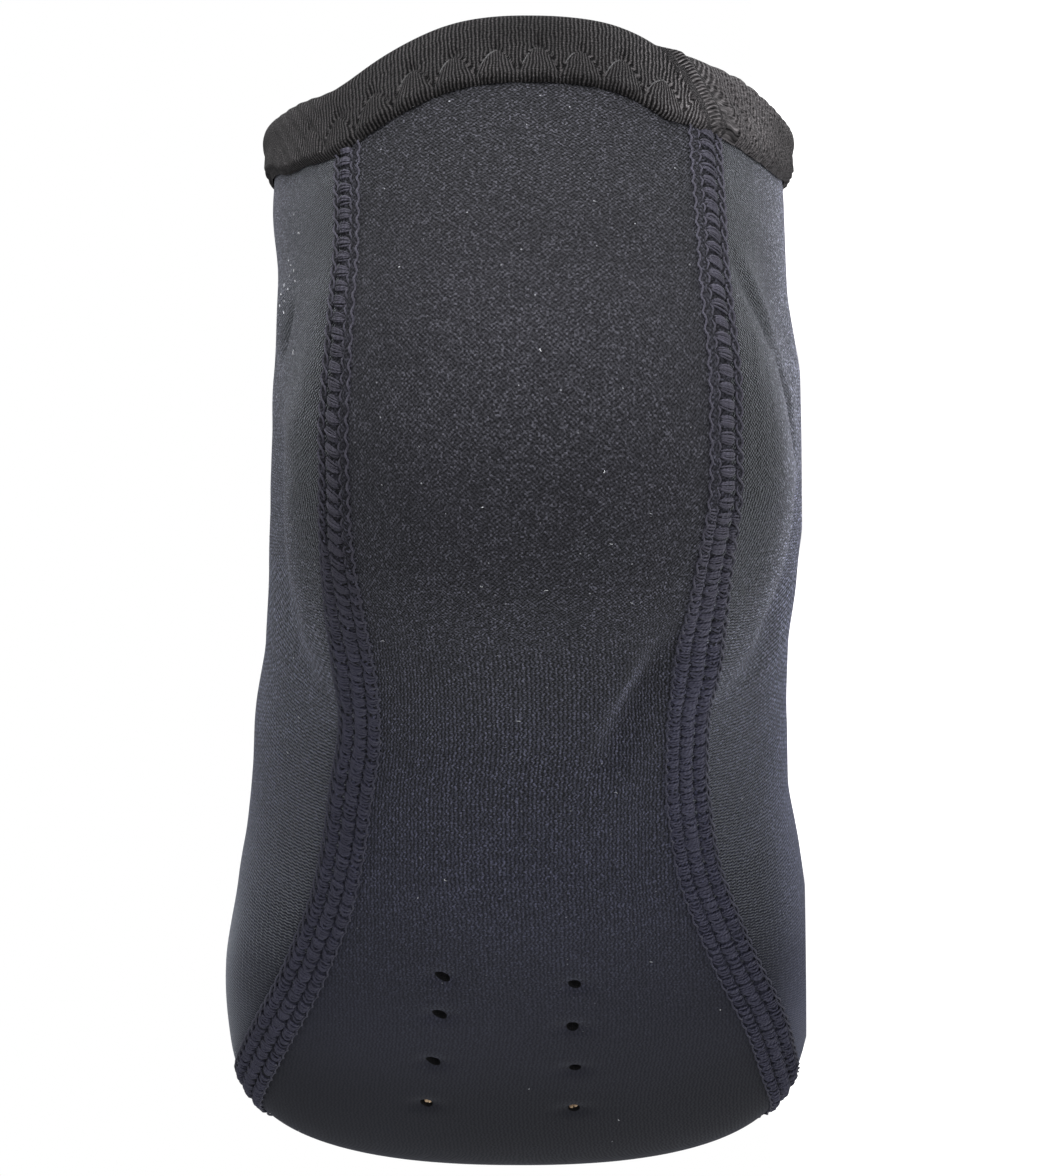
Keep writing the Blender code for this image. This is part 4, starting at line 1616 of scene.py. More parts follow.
@dataclass
class SolePanel(ClothPanel):
    """Sole: round the toe's tip, under the foot and up the heel to the collar, with drain holes."""

    hole_diameter: float = 1.75
    hole_sides: int = 24
    punch_ends: tuple[float, float] = (-5.0, 2.0)
    punch_depth: float = 9.0

    def build(self) -> Piece:
        """Build and dress the sole.

        Returns:
            The sole panel.
        """
        last = self.skin.last
        base = self.spacing(0.0, 0.0)
        under = base <= last.toe_seam_row
        edge = self.edge_gap * ~under
        left = np.where(under, math.pi, last.seam_angle(base, Side.LEFT)) - edge
        right = np.where(under, math.pi, last.seam_angle(base, Side.RIGHT)) - edge
        piece = self.lay_cloth("sole_panel", base, left, right, over_top=False)
        self.finish(piece, self.finishes.sole, "sole", "sole_neoprene")
        self.punch(piece)
        MeshBench.smooth(piece, 55.0)
        return piece

    def punch(self, piece: Piece) -> None:
        """Cut the drain holes and give their walls the foam's cut face."""
        punches = []
        axes = []
        for hole in self.skin.holes:
            place = np.array(hole.row), np.array(math.radians(hole.degrees))
            low, high = (Vector(self.skin.place(*place, np.array(out))) for out in self.punch_ends)
            axis = (high - low).normalized()
            turned = axis.to_track_quat("Z", "Y").to_matrix()
            MeshBench.clear()
            bpy.ops.mesh.primitive_cylinder_add(
                vertices=self.hole_sides,
                radius=self.hole_diameter / 2.0 * MM,
                depth=(high - low).length,
                location=(low + high) / 2.0,
            )
            punch = bpy.context.active_object
            punch.scale = (hole.stretch, 1.0, 1.0)
            punch.rotation_euler = (turned @ Matrix.Rotation(hole.slant, 3, "Z")).to_euler()
            punches.append(punch)
            axes.append((low, axis))
        tool = MeshBench.join(punches)
        cut = piece.modifiers.new("drain_holes", "BOOLEAN")
        cut.operation = "DIFFERENCE"
        cut.solver = "EXACT"
        cut.object = tool
        MeshBench.apply(piece, cut)
        bpy.data.objects.remove(tool, do_unlink=True)
        reach, depth = self.hole_diameter * MM, self.punch_depth * MM
        for face in piece.data.polygons:
            for low, axis in axes:
                offset = face.center - low
                side = offset - axis * offset.dot(axis)
                upright = abs(face.normal.dot(axis)) < 0.5
                if side.length < reach and upright and offset.length < depth:
                    face.material_index = 2


@dataclass
class UpperPanel(ClothPanel):
    """Upper: over the toes and instep and round both sides of the heel to the collar."""

    across: int = 156
    along: int = 270
    edge_crowding: float = 0.5

    def build(self) -> Piece:
        """Build and dress the upper.

        Returns:
            The upper panel.
        """
        last = self.skin.last
        start = last.toe_seam_row + 0.01
        base = self.spacing(start, 100.0)
        left = last.seam_angle(base, Side.LEFT) + self.edge_gap
        right = last.seam_angle(base, Side.RIGHT) + self.edge_gap
        left[0] = math.pi
        right[0] = math.pi
        piece = self.lay_cloth("upper_panel", base, left, right, over_top=True)
        self.finish(piece, self.finishes.upper, "upper", "upper_neoprene")
        MeshBench.smooth(piece, 55.0)
        return piece


@dataclass
class FlatlockSeam:
    """Flatlock seam: a bed of pulled cloth, cover threads in three lanes and a chain along each edge."""

    skin: ClothSkin
    finishes: FinishBook
    pitch: float = 2.05
    sole_pitch: float = 3.5
    pitch_change: tuple[float, float] = (54.0, 88.0)
    collar_lines: tuple[float, ...] = (-2.7, -1.55, 1.15, 2.75)
    needle_lines: tuple[float, ...] = (-2.85, -1.0, 1.0, 2.85)
    strand_counts: tuple[int, ...] = (4, 6, 4)
    strands_from: tuple[float, ...] = (0.15, -1.0, 0.15)
    pits: tuple[tuple[int, float, float, float, float, float], ...] = (
        (1, -0.10, 0.40, 0.50, 1.0, 0.0), (2, -0.1, 0.5, 0.36, 0.8, 0.0), (3, 0.32, 0.5, 0.24, 0.9, 0.0),
        (0, 0.1, 0.0, 0.28, 0.0, 0.7), (1, 0.0, 0.25, 0.28, 0.0, 0.9), (2, 0.0, 0.5, 0.28, 0.0, 0.9),
        (3, -0.1, 0.5, 0.28, 0.0, 0.7),
    )
    collar_slant: float = 0.34
    sole_slant: float = 0.16
    collar_fan: float = 0.72
    sole_fan: float = 0.98
    bed_across: int = 26
    bed_step: float = 0.35
    half_width: float = 3.3
    bed_base: float = 0.06
    lane_rise: float = 0.36
    pit_depth: float = 0.55
    edge_drop: float = 1.4
    start_drop: float = 8.0
    rail_step: float = 0.5
    thread_share: float = 0.058
    chain_radius: float = 0.15
    top_width: dict[Side, float] = field(default_factory=lambda: {Side.LEFT: 0.74, Side.RIGHT: 0.94})
    top_reach: float = 46.0
    rail_across: Array = field(init=False)
    rail_points: Array = field(init=False)
    rail_normals: Array = field(init=False)
    length: float = field(init=False)
    marks: Array = field(init=False)

    def __post_init__(self) -> None:
        """Lay rails on the skin along the whole seam and mark its stitches."""
        last = self.skin.last
        row, angle = self.path()
        centre = last.point(row, angle)
        tangent = np.gradient(centre, axis=0)
        side = np.cross(last.normal(row, angle), tangent)
        side /= np.linalg.norm(side, axis=-1, keepdims=True)
        self.length = self.rail_step * (len(row) - 1)
        self.rail_across = np.linspace(-4.2, 4.2, 15)
        points, normals = [], []
        for across in self.rail_across:
            at_row, at_angle = last.walk(row, angle, side, across)
            points.append(self.skin.shoe_point(at_row, at_angle))
            normals.append(last.normal(at_row, at_angle))
        self.rail_points = np.stack(points, axis=1)
        self.rail_normals = np.stack(normals, axis=1)
        marks = [0.0]
        while marks[-1] < self.length:
            marks.append(marks[-1] + float(self.pitch_at(np.array(marks[-1]))))
        self.marks = np.array(marks[:-1])

    def under_foot(self, along: Array) -> Array:
        """Return 0 near the collar and 1 where the seam runs under the foot."""
        reach = np.minimum(along, self.length - along)
        start, end = self.pitch_change
        return limited((reach - start) / (end - start))

    def pitch_at(self, along: Array) -> Array:
        """Return the stitch length, short at the collar and long under the foot."""
        return self.pitch + (self.sole_pitch - self.pitch) * self.under_foot(along)

    def stitch_turns(self, along: Array) -> Array:
        """Return how many stitches lie before each place along the seam."""
        return np.interp(along, self.marks, np.arange(len(self.marks)))

    def path(self) -> tuple[Array, Array]:
        """Return rows and angles along the joint, from the collar on the left round the toe to the right.

        Returns:
            Rows and angles at even steps of length.
        """
        last = self.skin.last
        tip = last.toe_turn_row - last.toe_seam_row
        toe = last.toe_turn_row - tip * np.linspace(0.0, 1.0, 160)[1:] ** 0.5
        base = np.concatenate([np.linspace(last.collar, last.toe_turn_row, 700), toe])
        sides = []
        for side in Side:
            angle = side.value * last.seam_angle(base, side)
            row = base / last.collar * last.row_below_collar(angle, self.edge_drop)
            keep = row <= last.row_below_collar(angle, self.start_drop)
            sides.append((row[keep], angle[keep]))
        row = np.concatenate([sides[0][0], sides[1][0][::-1][1:]])
        angle = np.concatenate([sides[0][1], sides[1][1][::-1][1:] + FULL_TURN])
        length = run(last.point(row, angle))
        even = np.arange(0.0, length[-1], self.rail_step)
        return np.interp(even, length, row), np.interp(even, length, angle)

    def at(self, along: Array, across: Array, out: Array) -> tuple[Array, Array]:
        """Return points over the seam and the directions out of it.

        Args:
            along: Millimetres along the seam.
            across: Millimetres across it.
            out: Millimetres out of the cloth.

        Returns:
            Points in metres and unit directions, in the part's frame.
        """
        along, across, out = np.broadcast_arrays(along, across, out)
        across = across * self.narrowing(along)
        i_at = np.clip(along / self.rail_step, 0.0, len(self.rail_points) - 1.001)
        k_at = (across - self.rail_across[0]) / (self.rail_across[1] - self.rail_across[0])
        k_at = np.clip(k_at, 0.0, len(self.rail_across) - 1.001)
        i, k = i_at.astype(int), k_at.astype(int)
        a, b = (i_at - i)[..., None], (k_at - k)[..., None]

        def blend(rails: Array) -> Array:
            """Return values between the four nearest rail points."""
            low = rails[i, k] * (1.0 - a) + rails[i + 1, k] * a
            high = rails[i, k + 1] * (1.0 - a) + rails[i + 1, k + 1] * a
            return low * (1.0 - b) + high * b

        normal = blend(self.rail_normals)
        normal /= np.linalg.norm(normal, axis=-1, keepdims=True)
        points = blend(self.rail_points) + out[..., None] * normal
        last = self.skin.last
        here = last.lay_down(points, 0.05)
        ahead = last.lay_down(points + normal, None) - last.lay_down(points, None)
        return here, ahead / MM

    def narrowing(self, along: Array) -> Array:
        """Return how the seam narrows towards the collar at both of its ends."""
        ends = {Side.LEFT: along, Side.RIGHT: self.length - along}
        width = np.ones(np.shape(along))
        for side, reach in ends.items():
            top = self.top_width[side]
            width = width * (top + (1.0 - top) * eased(limited(reach / self.top_reach)))
        return width

    def lines_at(self, along: Array) -> list[Array]:
        """Return the four needle lines' places across the seam, drawn in towards the collar."""
        share = self.under_foot(along)
        return [top + (low - top) * share for top, low in zip(self.collar_lines, self.needle_lines)]

    def slant_at(self, along: Array) -> Array:
        """Return how far the strands slant across a lane, as a share of the stitch."""
        return self.collar_slant + (self.sole_slant - self.collar_slant) * self.under_foot(along)

    def pit(self, along: Array, across: Array) -> Array:
        """Return 0 on plain cloth and 1 in the small holes that the needles leave, where the cloth sinks and
        its colour is darkened as painted shade.

        Args:
            along: Millimetres along the seam.
            across: Millimetres across it.

        Returns:
            Shares from 0 to 1.
        """
        lines = self.lines_at(along)
        turn = self.stitch_turns(along)
        share = self.under_foot(along)
        total = np.zeros(np.broadcast(along, across).shape)
        for line, shift, phase, size, top, low in self.pits:
            near = hump(across - lines[line] - shift, size)
            dot = hump(np.sin(math.pi * (turn - phase)), 0.6)
            total = total + (top + (low - top) * share) * near * dot
        return limited(total)

    def bed_height(self, along: Array, across: Array) -> Array:
        """Return how high the pulled cloth stands between the needle lines.

        Args:
            along: Millimetres along the seam.
            across: Millimetres across it.

        Returns:
            Millimetres out of the cloth.
        """
        lines = self.lines_at(along)
        turn = self.stitch_turns(along)
        near_collar = 1.0 - self.under_foot(along)
        height = np.full(np.broadcast(along, across).shape, self.bed_base)
        for lane in range(3):
            low, high = lines[lane], lines[lane + 1]
            place = (across - low) / (high - low) - 0.5
            inside = limited(1.0 - 4.0 * place**2)
            wave = 0.82 + 0.18 * np.cos(FULL_TURN * (turn + 0.33 * lane))
            if lane == 1:
                rung = np.abs(np.cos(math.pi * (turn - self.slant_at(along) * place))) ** 0.6
                wave = wave + near_collar * (1.35 * rung - wave)
            height = height + self.lane_rise * inside**0.7 * wave
        height = height - self.pit_depth * self.pit(along, across)
        edge = limited((self.half_width - np.abs(across)) / 0.4)
        return height * edge - 0.25 * (1.0 - edge)

    def build(self) -> list[Piece]:
        """Build and dress the seam.

        Returns:
            The bed and its cover threads, and the edge chains.
        """
        cover = self.cover_threads()
        bed = self.bed()
        MeshBench.give(bed, self.finishes.seam_bed)
        MeshBench.give(cover, self.finishes.seam_thread)
        chains = self.edge_chains()
        MeshBench.give(chains, self.finishes.seam_thread)
        for piece in (bed, cover, chains):
            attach(piece, BODY)
        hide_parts("flatlock_seam")
        return [bed, cover, chains]

    def bed(self) -> Piece:
        """Return the bed of pulled cloth under the threads."""
        stations = int(self.length / self.bed_step)
        piece = MeshBench.grid("seam_bed", self.bed_across, stations)
        across, along = MeshBench.shares(piece)
        width = (1.0 - 2.0 * across) * (self.half_width + 0.25)
        length = along * self.length
        points, _ = self.at(length, width, self.bed_height(length, width))
        MeshBench.set_points(piece, points)
        MeshBench.set_cloth_map(piece, np.stack([width, length], axis=-1))
        # The pit share, kept on the bed for painted shade in the needle holes.
        MeshBench.set_value(piece, "pit", self.pit(length, width))
        MeshBench.thicken(piece, 0.3, 0, 0)
        MeshBench.smooth(piece, 60.0)
        return piece

    def cover_threads(self) -> Piece:
        """Return the cover threads that cross each lane in small bundles."""
        rng = np.random.default_rng(11)
        bundle = ThreadBundle(sides=5)
        share = np.linspace(0.0, 1.0, 7)[None, :]
        arch = np.sin(math.pi * share) ** 0.6
        for lane, strands in enumerate(self.strand_counts):
            marks = self.marks[:-2]
            marks = marks[self.under_foot(marks) > self.strands_from[lane]][:, None]
            pitch = self.pitch_at(marks)
            spread = self.collar_fan + (self.sole_fan - self.collar_fan) * self.under_foot(marks)
            fan = spread - 0.66 * spread * np.abs(2.0 * share - 1.0) ** 2.4
            lines = self.lines_at(marks)
            low, high = lines[lane], lines[lane + 1]
            for strand in range(strands):
                place = (strand + 0.5) / strands - 0.5
                first = marks + (0.5 + 0.5 * lane) * pitch + rng.normal(0.0, 0.06, pitch.shape)
                bow = rng.normal(0.10, 0.06, pitch.shape) * arch * self.under_foot(marks)
                along = first + pitch * (self.slant_at(marks) * (share - 0.5) + place * fan + bow)
                across = low + (high - low) * share + rng.normal(0.0, 0.04, pitch.shape)
                lift = self.bed_height(along, across) + 0.10 * arch - 0.24 * (1.0 - arch)
                points, ups = self.at(along, across, lift + rng.normal(0.0, 0.06, pitch.shape))
                bundle.add(points, ups, self.thread_share * pitch * rng.uniform(0.8, 1.2, pitch.shape) * MM)
        return bundle.make("seam_cover_threads")

    def edge_chains(self) -> Piece:
        """Return the two threads that cross along the outer edge and the dashed ones along the inner one."""
        bundle = ThreadBundle(sides=5)
        along = np.linspace(0.0, self.length, len(self.marks) * 9)[None, :]
        turn = math.pi * self.stitch_turns(along)
        near_collar = 1.0 - self.under_foot(along)
        lines = self.lines_at(along)
        for phase in (0.0, math.pi):
            swing = np.sin(turn + phase)
            across = lines[0] - 0.15 + near_collar * 0.60 + (0.24 + 0.30 * near_collar) * swing
            points, ups = self.at(along, across, 0.26 + 0.14 * np.cos(turn + phase))
            bundle.add(points, ups, self.chain_radius * MM)
        across = lines[3] + 0.14 * np.sin(2.0 * turn)
        points, ups = self.at(along, across, 0.24 + 0.20 * np.cos(2.0 * turn))
        bundle.add(points, ups, self.chain_radius * MM)
        across = lines[2] + 0.30 + 0.10 * np.sin(2.0 * turn + 1.0)
        sunk = 0.6 * (1.0 - near_collar)
        points, ups = self.at(along, across, 0.20 * np.cos(2.0 * turn + 2.0) + 0.24 - sunk)
        bundle.add(points, ups, 0.9 * self.chain_radius * MM)
        return bundle.make("seam_edge_chains")


@dataclass
class CollarTape:
    """Collar tape: rib folded over the edge, puckered by a zigzag stitch, its end lapped at the right."""

    skin: ClothSkin
    finishes: FinishBook
    outside: float = 13.0
    widths: Pairs = (
        (-180.0, 8.5), (-120.0, 6.2), (-92.0, 7.5), (-65.0, 11.5), (-40.0, 12.4), (-20.0, 13.0),
        (20.0, 13.0), (42.0, 12.2), (62.0, 12.0), (78.0, 9.2), (92.0, 6.7), (120.0, 6.0), (180.0, 8.5),
    )
    inside: float = 11.0
    tape: float = 1.1
    ply: float = 0.9
    fold_depth: float = 1.9
    scallop: float = 5.2
    stitch_peak: float = 7.0
    stitch_foot: float = 12.0
    stitch_shift: float = 1.9
    worn_from_deg: float = 30.0
    lap_deg: float = -22.5
    lap_slant: float = 0.58
    lap_rise: float = 0.65
    lap_reach: float = 24.0
    lap_roll: float = 1.3
    stations_per_scallop: int = 20
    profile_points: int = 60
    thread_radius: float = 0.10
    leg_strands: int = 3
    lump_height: float = 0.20
    lump_pitch: float = 3.0
    edge_angles: Array = field(init=False)
    edge_lengths: Array = field(init=False)
    scallops: int = field(init=False)
    tuck: Array = field(init=False)
    rise: Array = field(init=False)

    def __post_init__(self) -> None:
        """Measure the collar's edge and draw each scallop's own tuck."""
        angles = np.linspace(-math.pi, math.pi, 1441)
        points = self.skin.last.point(np.full(angles.shape, self.skin.last.collar), angles)
        self.edge_angles = angles
        self.edge_lengths = run(points)
        self.scallops = int(round(self.edge_lengths[-1] / self.scallop))
        rng = np.random.default_rng(5)
        self.tuck = rng.uniform(0.65, 1.3, self.scallops)
        self.rise = rng.uniform(0.82, 1.05, self.scallops)

    @property
    def round_length(self) -> float:
        """Return the length of the collar's edge in millimetres."""
        return float(self.edge_lengths[-1])

    def profile(self) -> tuple[Array, Array]:
        """Return the folded tape's section, over the fold to the inside edge and back under it.

        Returns:
            Drops below the collar's edge and distances out of the cloth, back to the first point.
        """
        last = self.skin.last
        outer = last.joint_gap + self.tape
        inner = -last.wall - 1.5 * last.joint_gap - self.tape
        middle = (outer + inner) / 2.0
        half = (outer - inner) / 2.0
        fold = self.fold_depth
        end = self.outside
        knots = [(end, 0.25), (end, 0.8), (end - 0.25, 1.15), (end - 0.7, outer)]
        knots += [(drop, outer) for drop in np.linspace(end - 1.4, fold + 0.4, 20)]
        for turn in np.linspace(0.0, math.pi, 40):
            knots.append((fold * (1.0 - math.sin(turn)), middle + half * math.cos(turn)))
        knots += [(self.inside, inner)]
        line = np.array(knots)
        steps = run(line)
        even = np.linspace(0.0, steps[-1], self.profile_points + 1)
        back = [(self.inside - 0.1, inner + self.ply)]
        for turn in np.linspace(math.pi, 0.0, 7):
            drop = fold + self.ply - fold * math.sin(turn)
            back.append((drop, middle + (half - self.ply) * math.cos(turn)))
        back += [(self.outside - 0.5, outer - self.ply), knots[0]]
        drops = np.concatenate([np.interp(even, steps, line[:, 0]), [knot[0] for knot in back]])
        outs = np.concatenate([np.interp(even, steps, line[:, 1]), [knot[1] for knot in back]])
        return drops, outs

    def narrowing(self, angle: Array) -> Array:
        """Return the tape's width round the collar, as a share of its width at the heel."""
        degrees = np.degrees(wrapped(angle))
        return SockLast.along_rows(degrees, self.widths) / self.outside

    def scallop_at(self, along: Array) -> tuple[Array, Array, Array]:
        """Return each place's scallop number, its distance from the peak and its height on the arch.

        Args:
            along: Millimetres along the collar's edge.

        Returns:
            Numbers, millimetres from the peak, and shares from foot to peak.
        """
        share = (along - self.stitch_shift) / self.round_length * self.scallops
        number = np.floor(share).astype(int) % self.scallops
        part = share - np.floor(share) - 0.5
        return number, part * self.scallop, 1.0 - np.abs(2.0 * part) ** 1.5

    def stitch_drop(self, along: Array) -> Array:
        """Return the drop of the zigzag stitch at each place along the collar's edge."""
        number, _, arch = self.scallop_at(along)
        return self.stitch_foot - (self.stitch_foot - self.stitch_peak) * arch * self.rise[number]

    def wear(self, along: Array) -> Array:
        """Return how much of the puckering is left, less at the sides where the tape is rubbed."""
        degrees = np.degrees(np.abs(np.interp(along, self.edge_lengths, self.edge_angles)))
        return 1.0 - 0.82 * limited((degrees - self.worn_from_deg) / 26.0)

    def pucker(self, along: Array, drop: Array) -> Array:
        """Return how the stitch puckers the tape's outside.

        Args:
            along: Millimetres along the collar's edge.
            drop: Millimetres below it.

        Returns:
            Millimetres out of the tape.
        """
        number, from_peak, arch = self.scallop_at(along)
        tuck = self.tuck[number]
        below = drop - self.stitch_drop(along)
        from_foot = self.scallop / 2.0 - np.abs(from_peak)
        groove = -0.24 * tuck * hump(below, 0.38)
        petal = 0.13 * limited(below / 1.6) * arch
        dimple = -0.5 * tuck * hump(from_peak, 0.8) * hump(below + 0.45, 0.7)
        foot = -0.42 * hump(from_foot, 0.8) * limited((drop - 9.0) / 3.0)
        roll = 0.36 * hump(drop - 3.6, 2.6)
        fade = limited(drop / 1.8) * limited((self.outside + 0.4 - drop) / 0.6)
        degrees = np.degrees(np.interp(along, self.edge_lengths, self.edge_angles))
        left = limited((degrees - 40.0) / 10.0) * limited((72.0 - degrees) / 14.0)
        right = limited((-degrees - 34.0) / 10.0) * limited((degrees + 120.0) / 20.0)
        bunched = right + 0.5 * left
        lumps = self.lump_height * bunched * np.sin(FULL_TURN * (along + 0.7 * drop) / self.lump_pitch)
        clear = 1.0 - hump(self.lap_edge(drop) - along - 1.0, 3.4)
        stitched = (groove + petal + dimple + foot) * self.wear(along) * clear
        return (stitched + roll + lumps) * fade + self.lap(along, drop)

    def gather(self, along: Array, drop: Array) -> Array:
        """Return how far the ribs under each arch are pulled together towards its peak.

        Args:
            along: Millimetres along the collar's edge.
            drop: Millimetres below it.

        Returns:
            Millimetres along the collar.
        """
        _, from_peak, _ = self.scallop_at(along)
        inside = limited((drop - self.stitch_drop(along) + 0.3) / 0.5)
        near_peak = limited((self.stitch_foot - drop) / (self.stitch_foot - self.stitch_peak))
        return 0.8 * from_peak * inside * near_peak * self.wear(along)

    def lap_edge(self, drop: Array) -> Array:
        """Return where the lapped end's slanted edge lies along the collar, at each drop."""
        start = np.interp(math.radians(self.lap_deg), self.edge_angles, self.edge_lengths)
        return start - self.lap_slant * drop

    def lap(self, along: Array, drop: Array) -> Array:
        """Return the rise of the lapped end, rolled along its slanted edge.

        Args:
            along: Millimetres along the collar's edge.
            drop: Millimetres below it.

        Returns:
            Millimetres out of the tape.
        """
        behind = self.lap_edge(drop) - along
        step = eased(limited((behind + 0.4) / 0.8))
        leave = limited((self.lap_reach - behind) / 12.0)
        roll = 0.70 * hump(behind - self.lap_roll, 0.9)
        top = limited((drop - 0.4) / 2.0) * limited((self.outside + 0.2 - drop) / 3.0)
        return (self.lap_rise * step * leave + roll) * top

    def build(self) -> list[Piece]:
        """Build and dress the tape and its stitch.

        Returns:
            The tape and the zigzag thread.
        """
        stations = self.scallops * self.stations_per_scallop
        drops, outs = self.profile()
        piece = MeshBench.grid("collar_tape", stations, len(drops) - 1)
        across, along = MeshBench.shares(piece)
        index = np.round(along * (len(drops) - 1)).astype(int)
        drop, out = drops[index], outs[index]
        length = (1.0 - across) * self.round_length
        angle = np.interp(length, self.edge_lengths, self.edge_angles)
        outer_side = limited((out + 0.6) / 1.2)
        outer_face = outer_side * (index <= self.profile_points)
        _, _, arch = self.scallop_at(length)
        edge_wave = 0.25 * (arch - 0.6) * limited((drop - 10.0) / 3.0) * outer_side
        narrow = self.narrowing(angle) * outer_side + (1.0 - outer_side)
        row = self.skin.last.row_below_collar(angle, np.clip((drop + edge_wave) * narrow, 0.0, None))
        lift = out + self.pucker(length, drop) * outer_face
        MeshBench.set_points(piece, self.skin.place(row, angle, lift))
        steps = run(np.stack([drops, outs], axis=-1))
        behind = self.lap_edge(drop) - length
        rolled = np.abs(behind - self.lap_roll) < 1.2
        beyond = limited((behind - 2.0) / 3.0) * limited((self.lap_reach - behind) / 10.0)
        straight = length + self.gather(length, drop) + 0.25 * beyond * drop
        ladder = drop + 0.45 * behind
        fanned = np.where(outer_face > 0.5, np.where(rolled, ladder, straight), length)
        MeshBench.set_cloth_map(piece, np.stack([fanned, steps[index]], axis=-1))
        MeshBench.merge(piece)
        MeshBench.give(piece, self.finishes.tape)
        MeshBench.smooth(piece, 60.0)
        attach(piece, BODY)
        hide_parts("collar_binding")
        thread = self.zigzag()
        MeshBench.give(thread, self.finishes.tape_thread)
        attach(thread, BODY)
        return [piece, thread]

    def zigzag(self) -> Piece:
        """Return what shows of the zigzag stitch: broken strands up one leg of each scallop."""
        rng = np.random.default_rng(17)
        bundle = ThreadBundle(sides=6)
        share = np.linspace(0.0, 1.0, 11)[None, :]
        outer = self.skin.last.joint_gap + self.tape
        numbers = np.arange(self.scallops)[:, None]
        for strand in range(self.leg_strands):
            start = rng.uniform(0.0, 0.35, numbers.shape)
            end = rng.uniform(0.55, 1.15, numbers.shape)
            leg = 0.5 - 0.5 * (start + (end - start) * share)
            length = self.stitch_shift + (numbers + 0.5 + leg) / self.scallops * self.round_length
            length = length + rng.normal(0.0, 0.10, numbers.shape) - 0.26 * strand
            drop = self.stitch_drop(length) + rng.normal(0.0, 0.12, numbers.shape)
            angle = np.interp(length % self.round_length, self.edge_lengths, self.edge_angles)
            ends = np.sin(math.pi * share) ** 0.5
            sunk = 0.22 * (1.0 - ends) + 0.5 * (1.0 - self.wear(length))
            sunk = sunk + 0.8 * hump(self.lap_edge(drop) - length - 2.5, 4.0)
            sunk = sunk + 0.6 * (rng.random(numbers.shape) < 0.25)
            row = self.skin.last.row_below_collar(angle, drop * self.narrowing(angle))
            lift = outer + self.pucker(length, drop) + rng.uniform(0.06, 0.20, numbers.shape) - sunk
            points = self.skin.place(row, angle, lift)
            ups = (self.skin.place(row, angle, lift + 1.0) - points) / MM
            radius = self.thread_radius * rng.uniform(0.6, 1.1, numbers.shape) * (0.4 + 0.6 * ends)
            bundle.add(points, ups, radius * MM)
        return bundle.make("collar_zigzag_thread")


@dataclass
class LooseBits:
    """Lint caught on the cloth, and the grains of sand in the last two drain holes."""

    skin: ClothSkin
    finishes: FinishBook
    seen: Pairs = (
        (9.23, 31.0), (10.93, -8.7), (10.43, 56.7), (11.82, 0.3), (9.88, 9.3), (9.83, -0.3), (8.10, 2.0),
        (6.45, 14.3), (6.29, 19.7), (7.32, -18.0), (9.73, -15.0), (8.80, 35.3), (8.15, -51.3),
        (13.02, 69.7), (12.97, 68.2), (12.90, 66.0), (12.84, 68.8), (12.78, 65.0), (12.75, 71.3),
        (12.70, 69.6), (12.65, 72.7), (12.58, 71.4), (12.53, 73.7), (12.46, 72.2), (12.05, 64.6),
        (13.30, 62.0), (13.55, 64.0),
    )
    strays: int = 46
    grains_per_hole: int = 12

    def build(self) -> list[Piece]:
        """Build and dress the bits.

        Returns:
            The lint and the grit.
        """
        lint = self.lint()
        MeshBench.give(lint, self.finishes.lint)
        grit = self.grit()
        MeshBench.give(grit, self.finishes.grit)
        for piece in (lint, grit):
            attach(piece, BODY)
        return [lint, grit]

    def lint(self) -> Piece:
        """Return short curled fibres, the seen ones first and the strays after them."""
        rng = np.random.default_rng(23)
        bundle = ThreadBundle(sides=5)
        spots = list(self.seen)
        for _ in range(self.strays):
            spots.append((rng.uniform(2.5, 13.4), rng.uniform(-175.0, 175.0)))
        for number, (row, degrees) in enumerate(spots):
            length = rng.uniform(0.25, 0.6) if number >= len(self.seen) else rng.uniform(0.4, 0.8)
            heading = rng.uniform(0.0, FULL_TURN)
            curl = rng.uniform(-1.5, 1.5)
            share = np.linspace(-0.5, 0.5, 5)
            place = np.array(row), np.array(math.radians(degrees))
            along, around = (slope / np.linalg.norm(slope) for slope in self.skin.last.slopes(*place))
            normal = self.skin.last.normal(*place)
            turn = heading + curl * share
            steps = np.cos(turn)[:, None] * along + np.sin(turn)[:, None] * around
            points = self.skin.shoe_point(*place, np.array(0.05)) + length * share[:, None] * steps
            laid = self.skin.last.lay_down(points, 0.06)
            up = self.skin.last.lay_down(points + normal, None) - self.skin.last.lay_down(points, None)
            thickness = rng.uniform(0.035, 0.06) * np.array([0.5, 1.0, 1.1, 0.9, 0.4])
            bundle.add(laid[None], (up / MM)[None], thickness[None] * MM)
        return bundle.make("lint_fibres")

    def grit(self) -> Piece:
        """Return a few grains lodged in the two foremost drain holes."""
        rng = np.random.default_rng(31)
        grains = []
        for hole in self.skin.holes[-2:]:
            for _ in range(self.grains_per_hole):
                row = np.array(hole.row + rng.uniform(-0.028, 0.028))
                angle = np.array(math.radians(hole.degrees + rng.uniform(-0.6, 0.6)))
                place = self.skin.place(row, angle, np.array(rng.uniform(-0.65, -0.3)))
                radius = rng.uniform(0.20, 0.36) * MM
                MeshBench.clear()
                bpy.ops.mesh.primitive_ico_sphere_add(subdivisions=2, radius=radius, location=Vector(place))
                grain = bpy.context.active_object
                for vertex in grain.data.vertices:
                    vertex.co *= rng.uniform(0.75, 1.2)
                grains.append(grain)
        piece = MeshBench.join(grains)
        piece.name = "drain_grit"
        bpy.ops.object.transform_apply(location=True, rotation=True, scale=True)
        MeshBench.smooth(piece, 60.0)
        return piece


# Floor, light and camera.


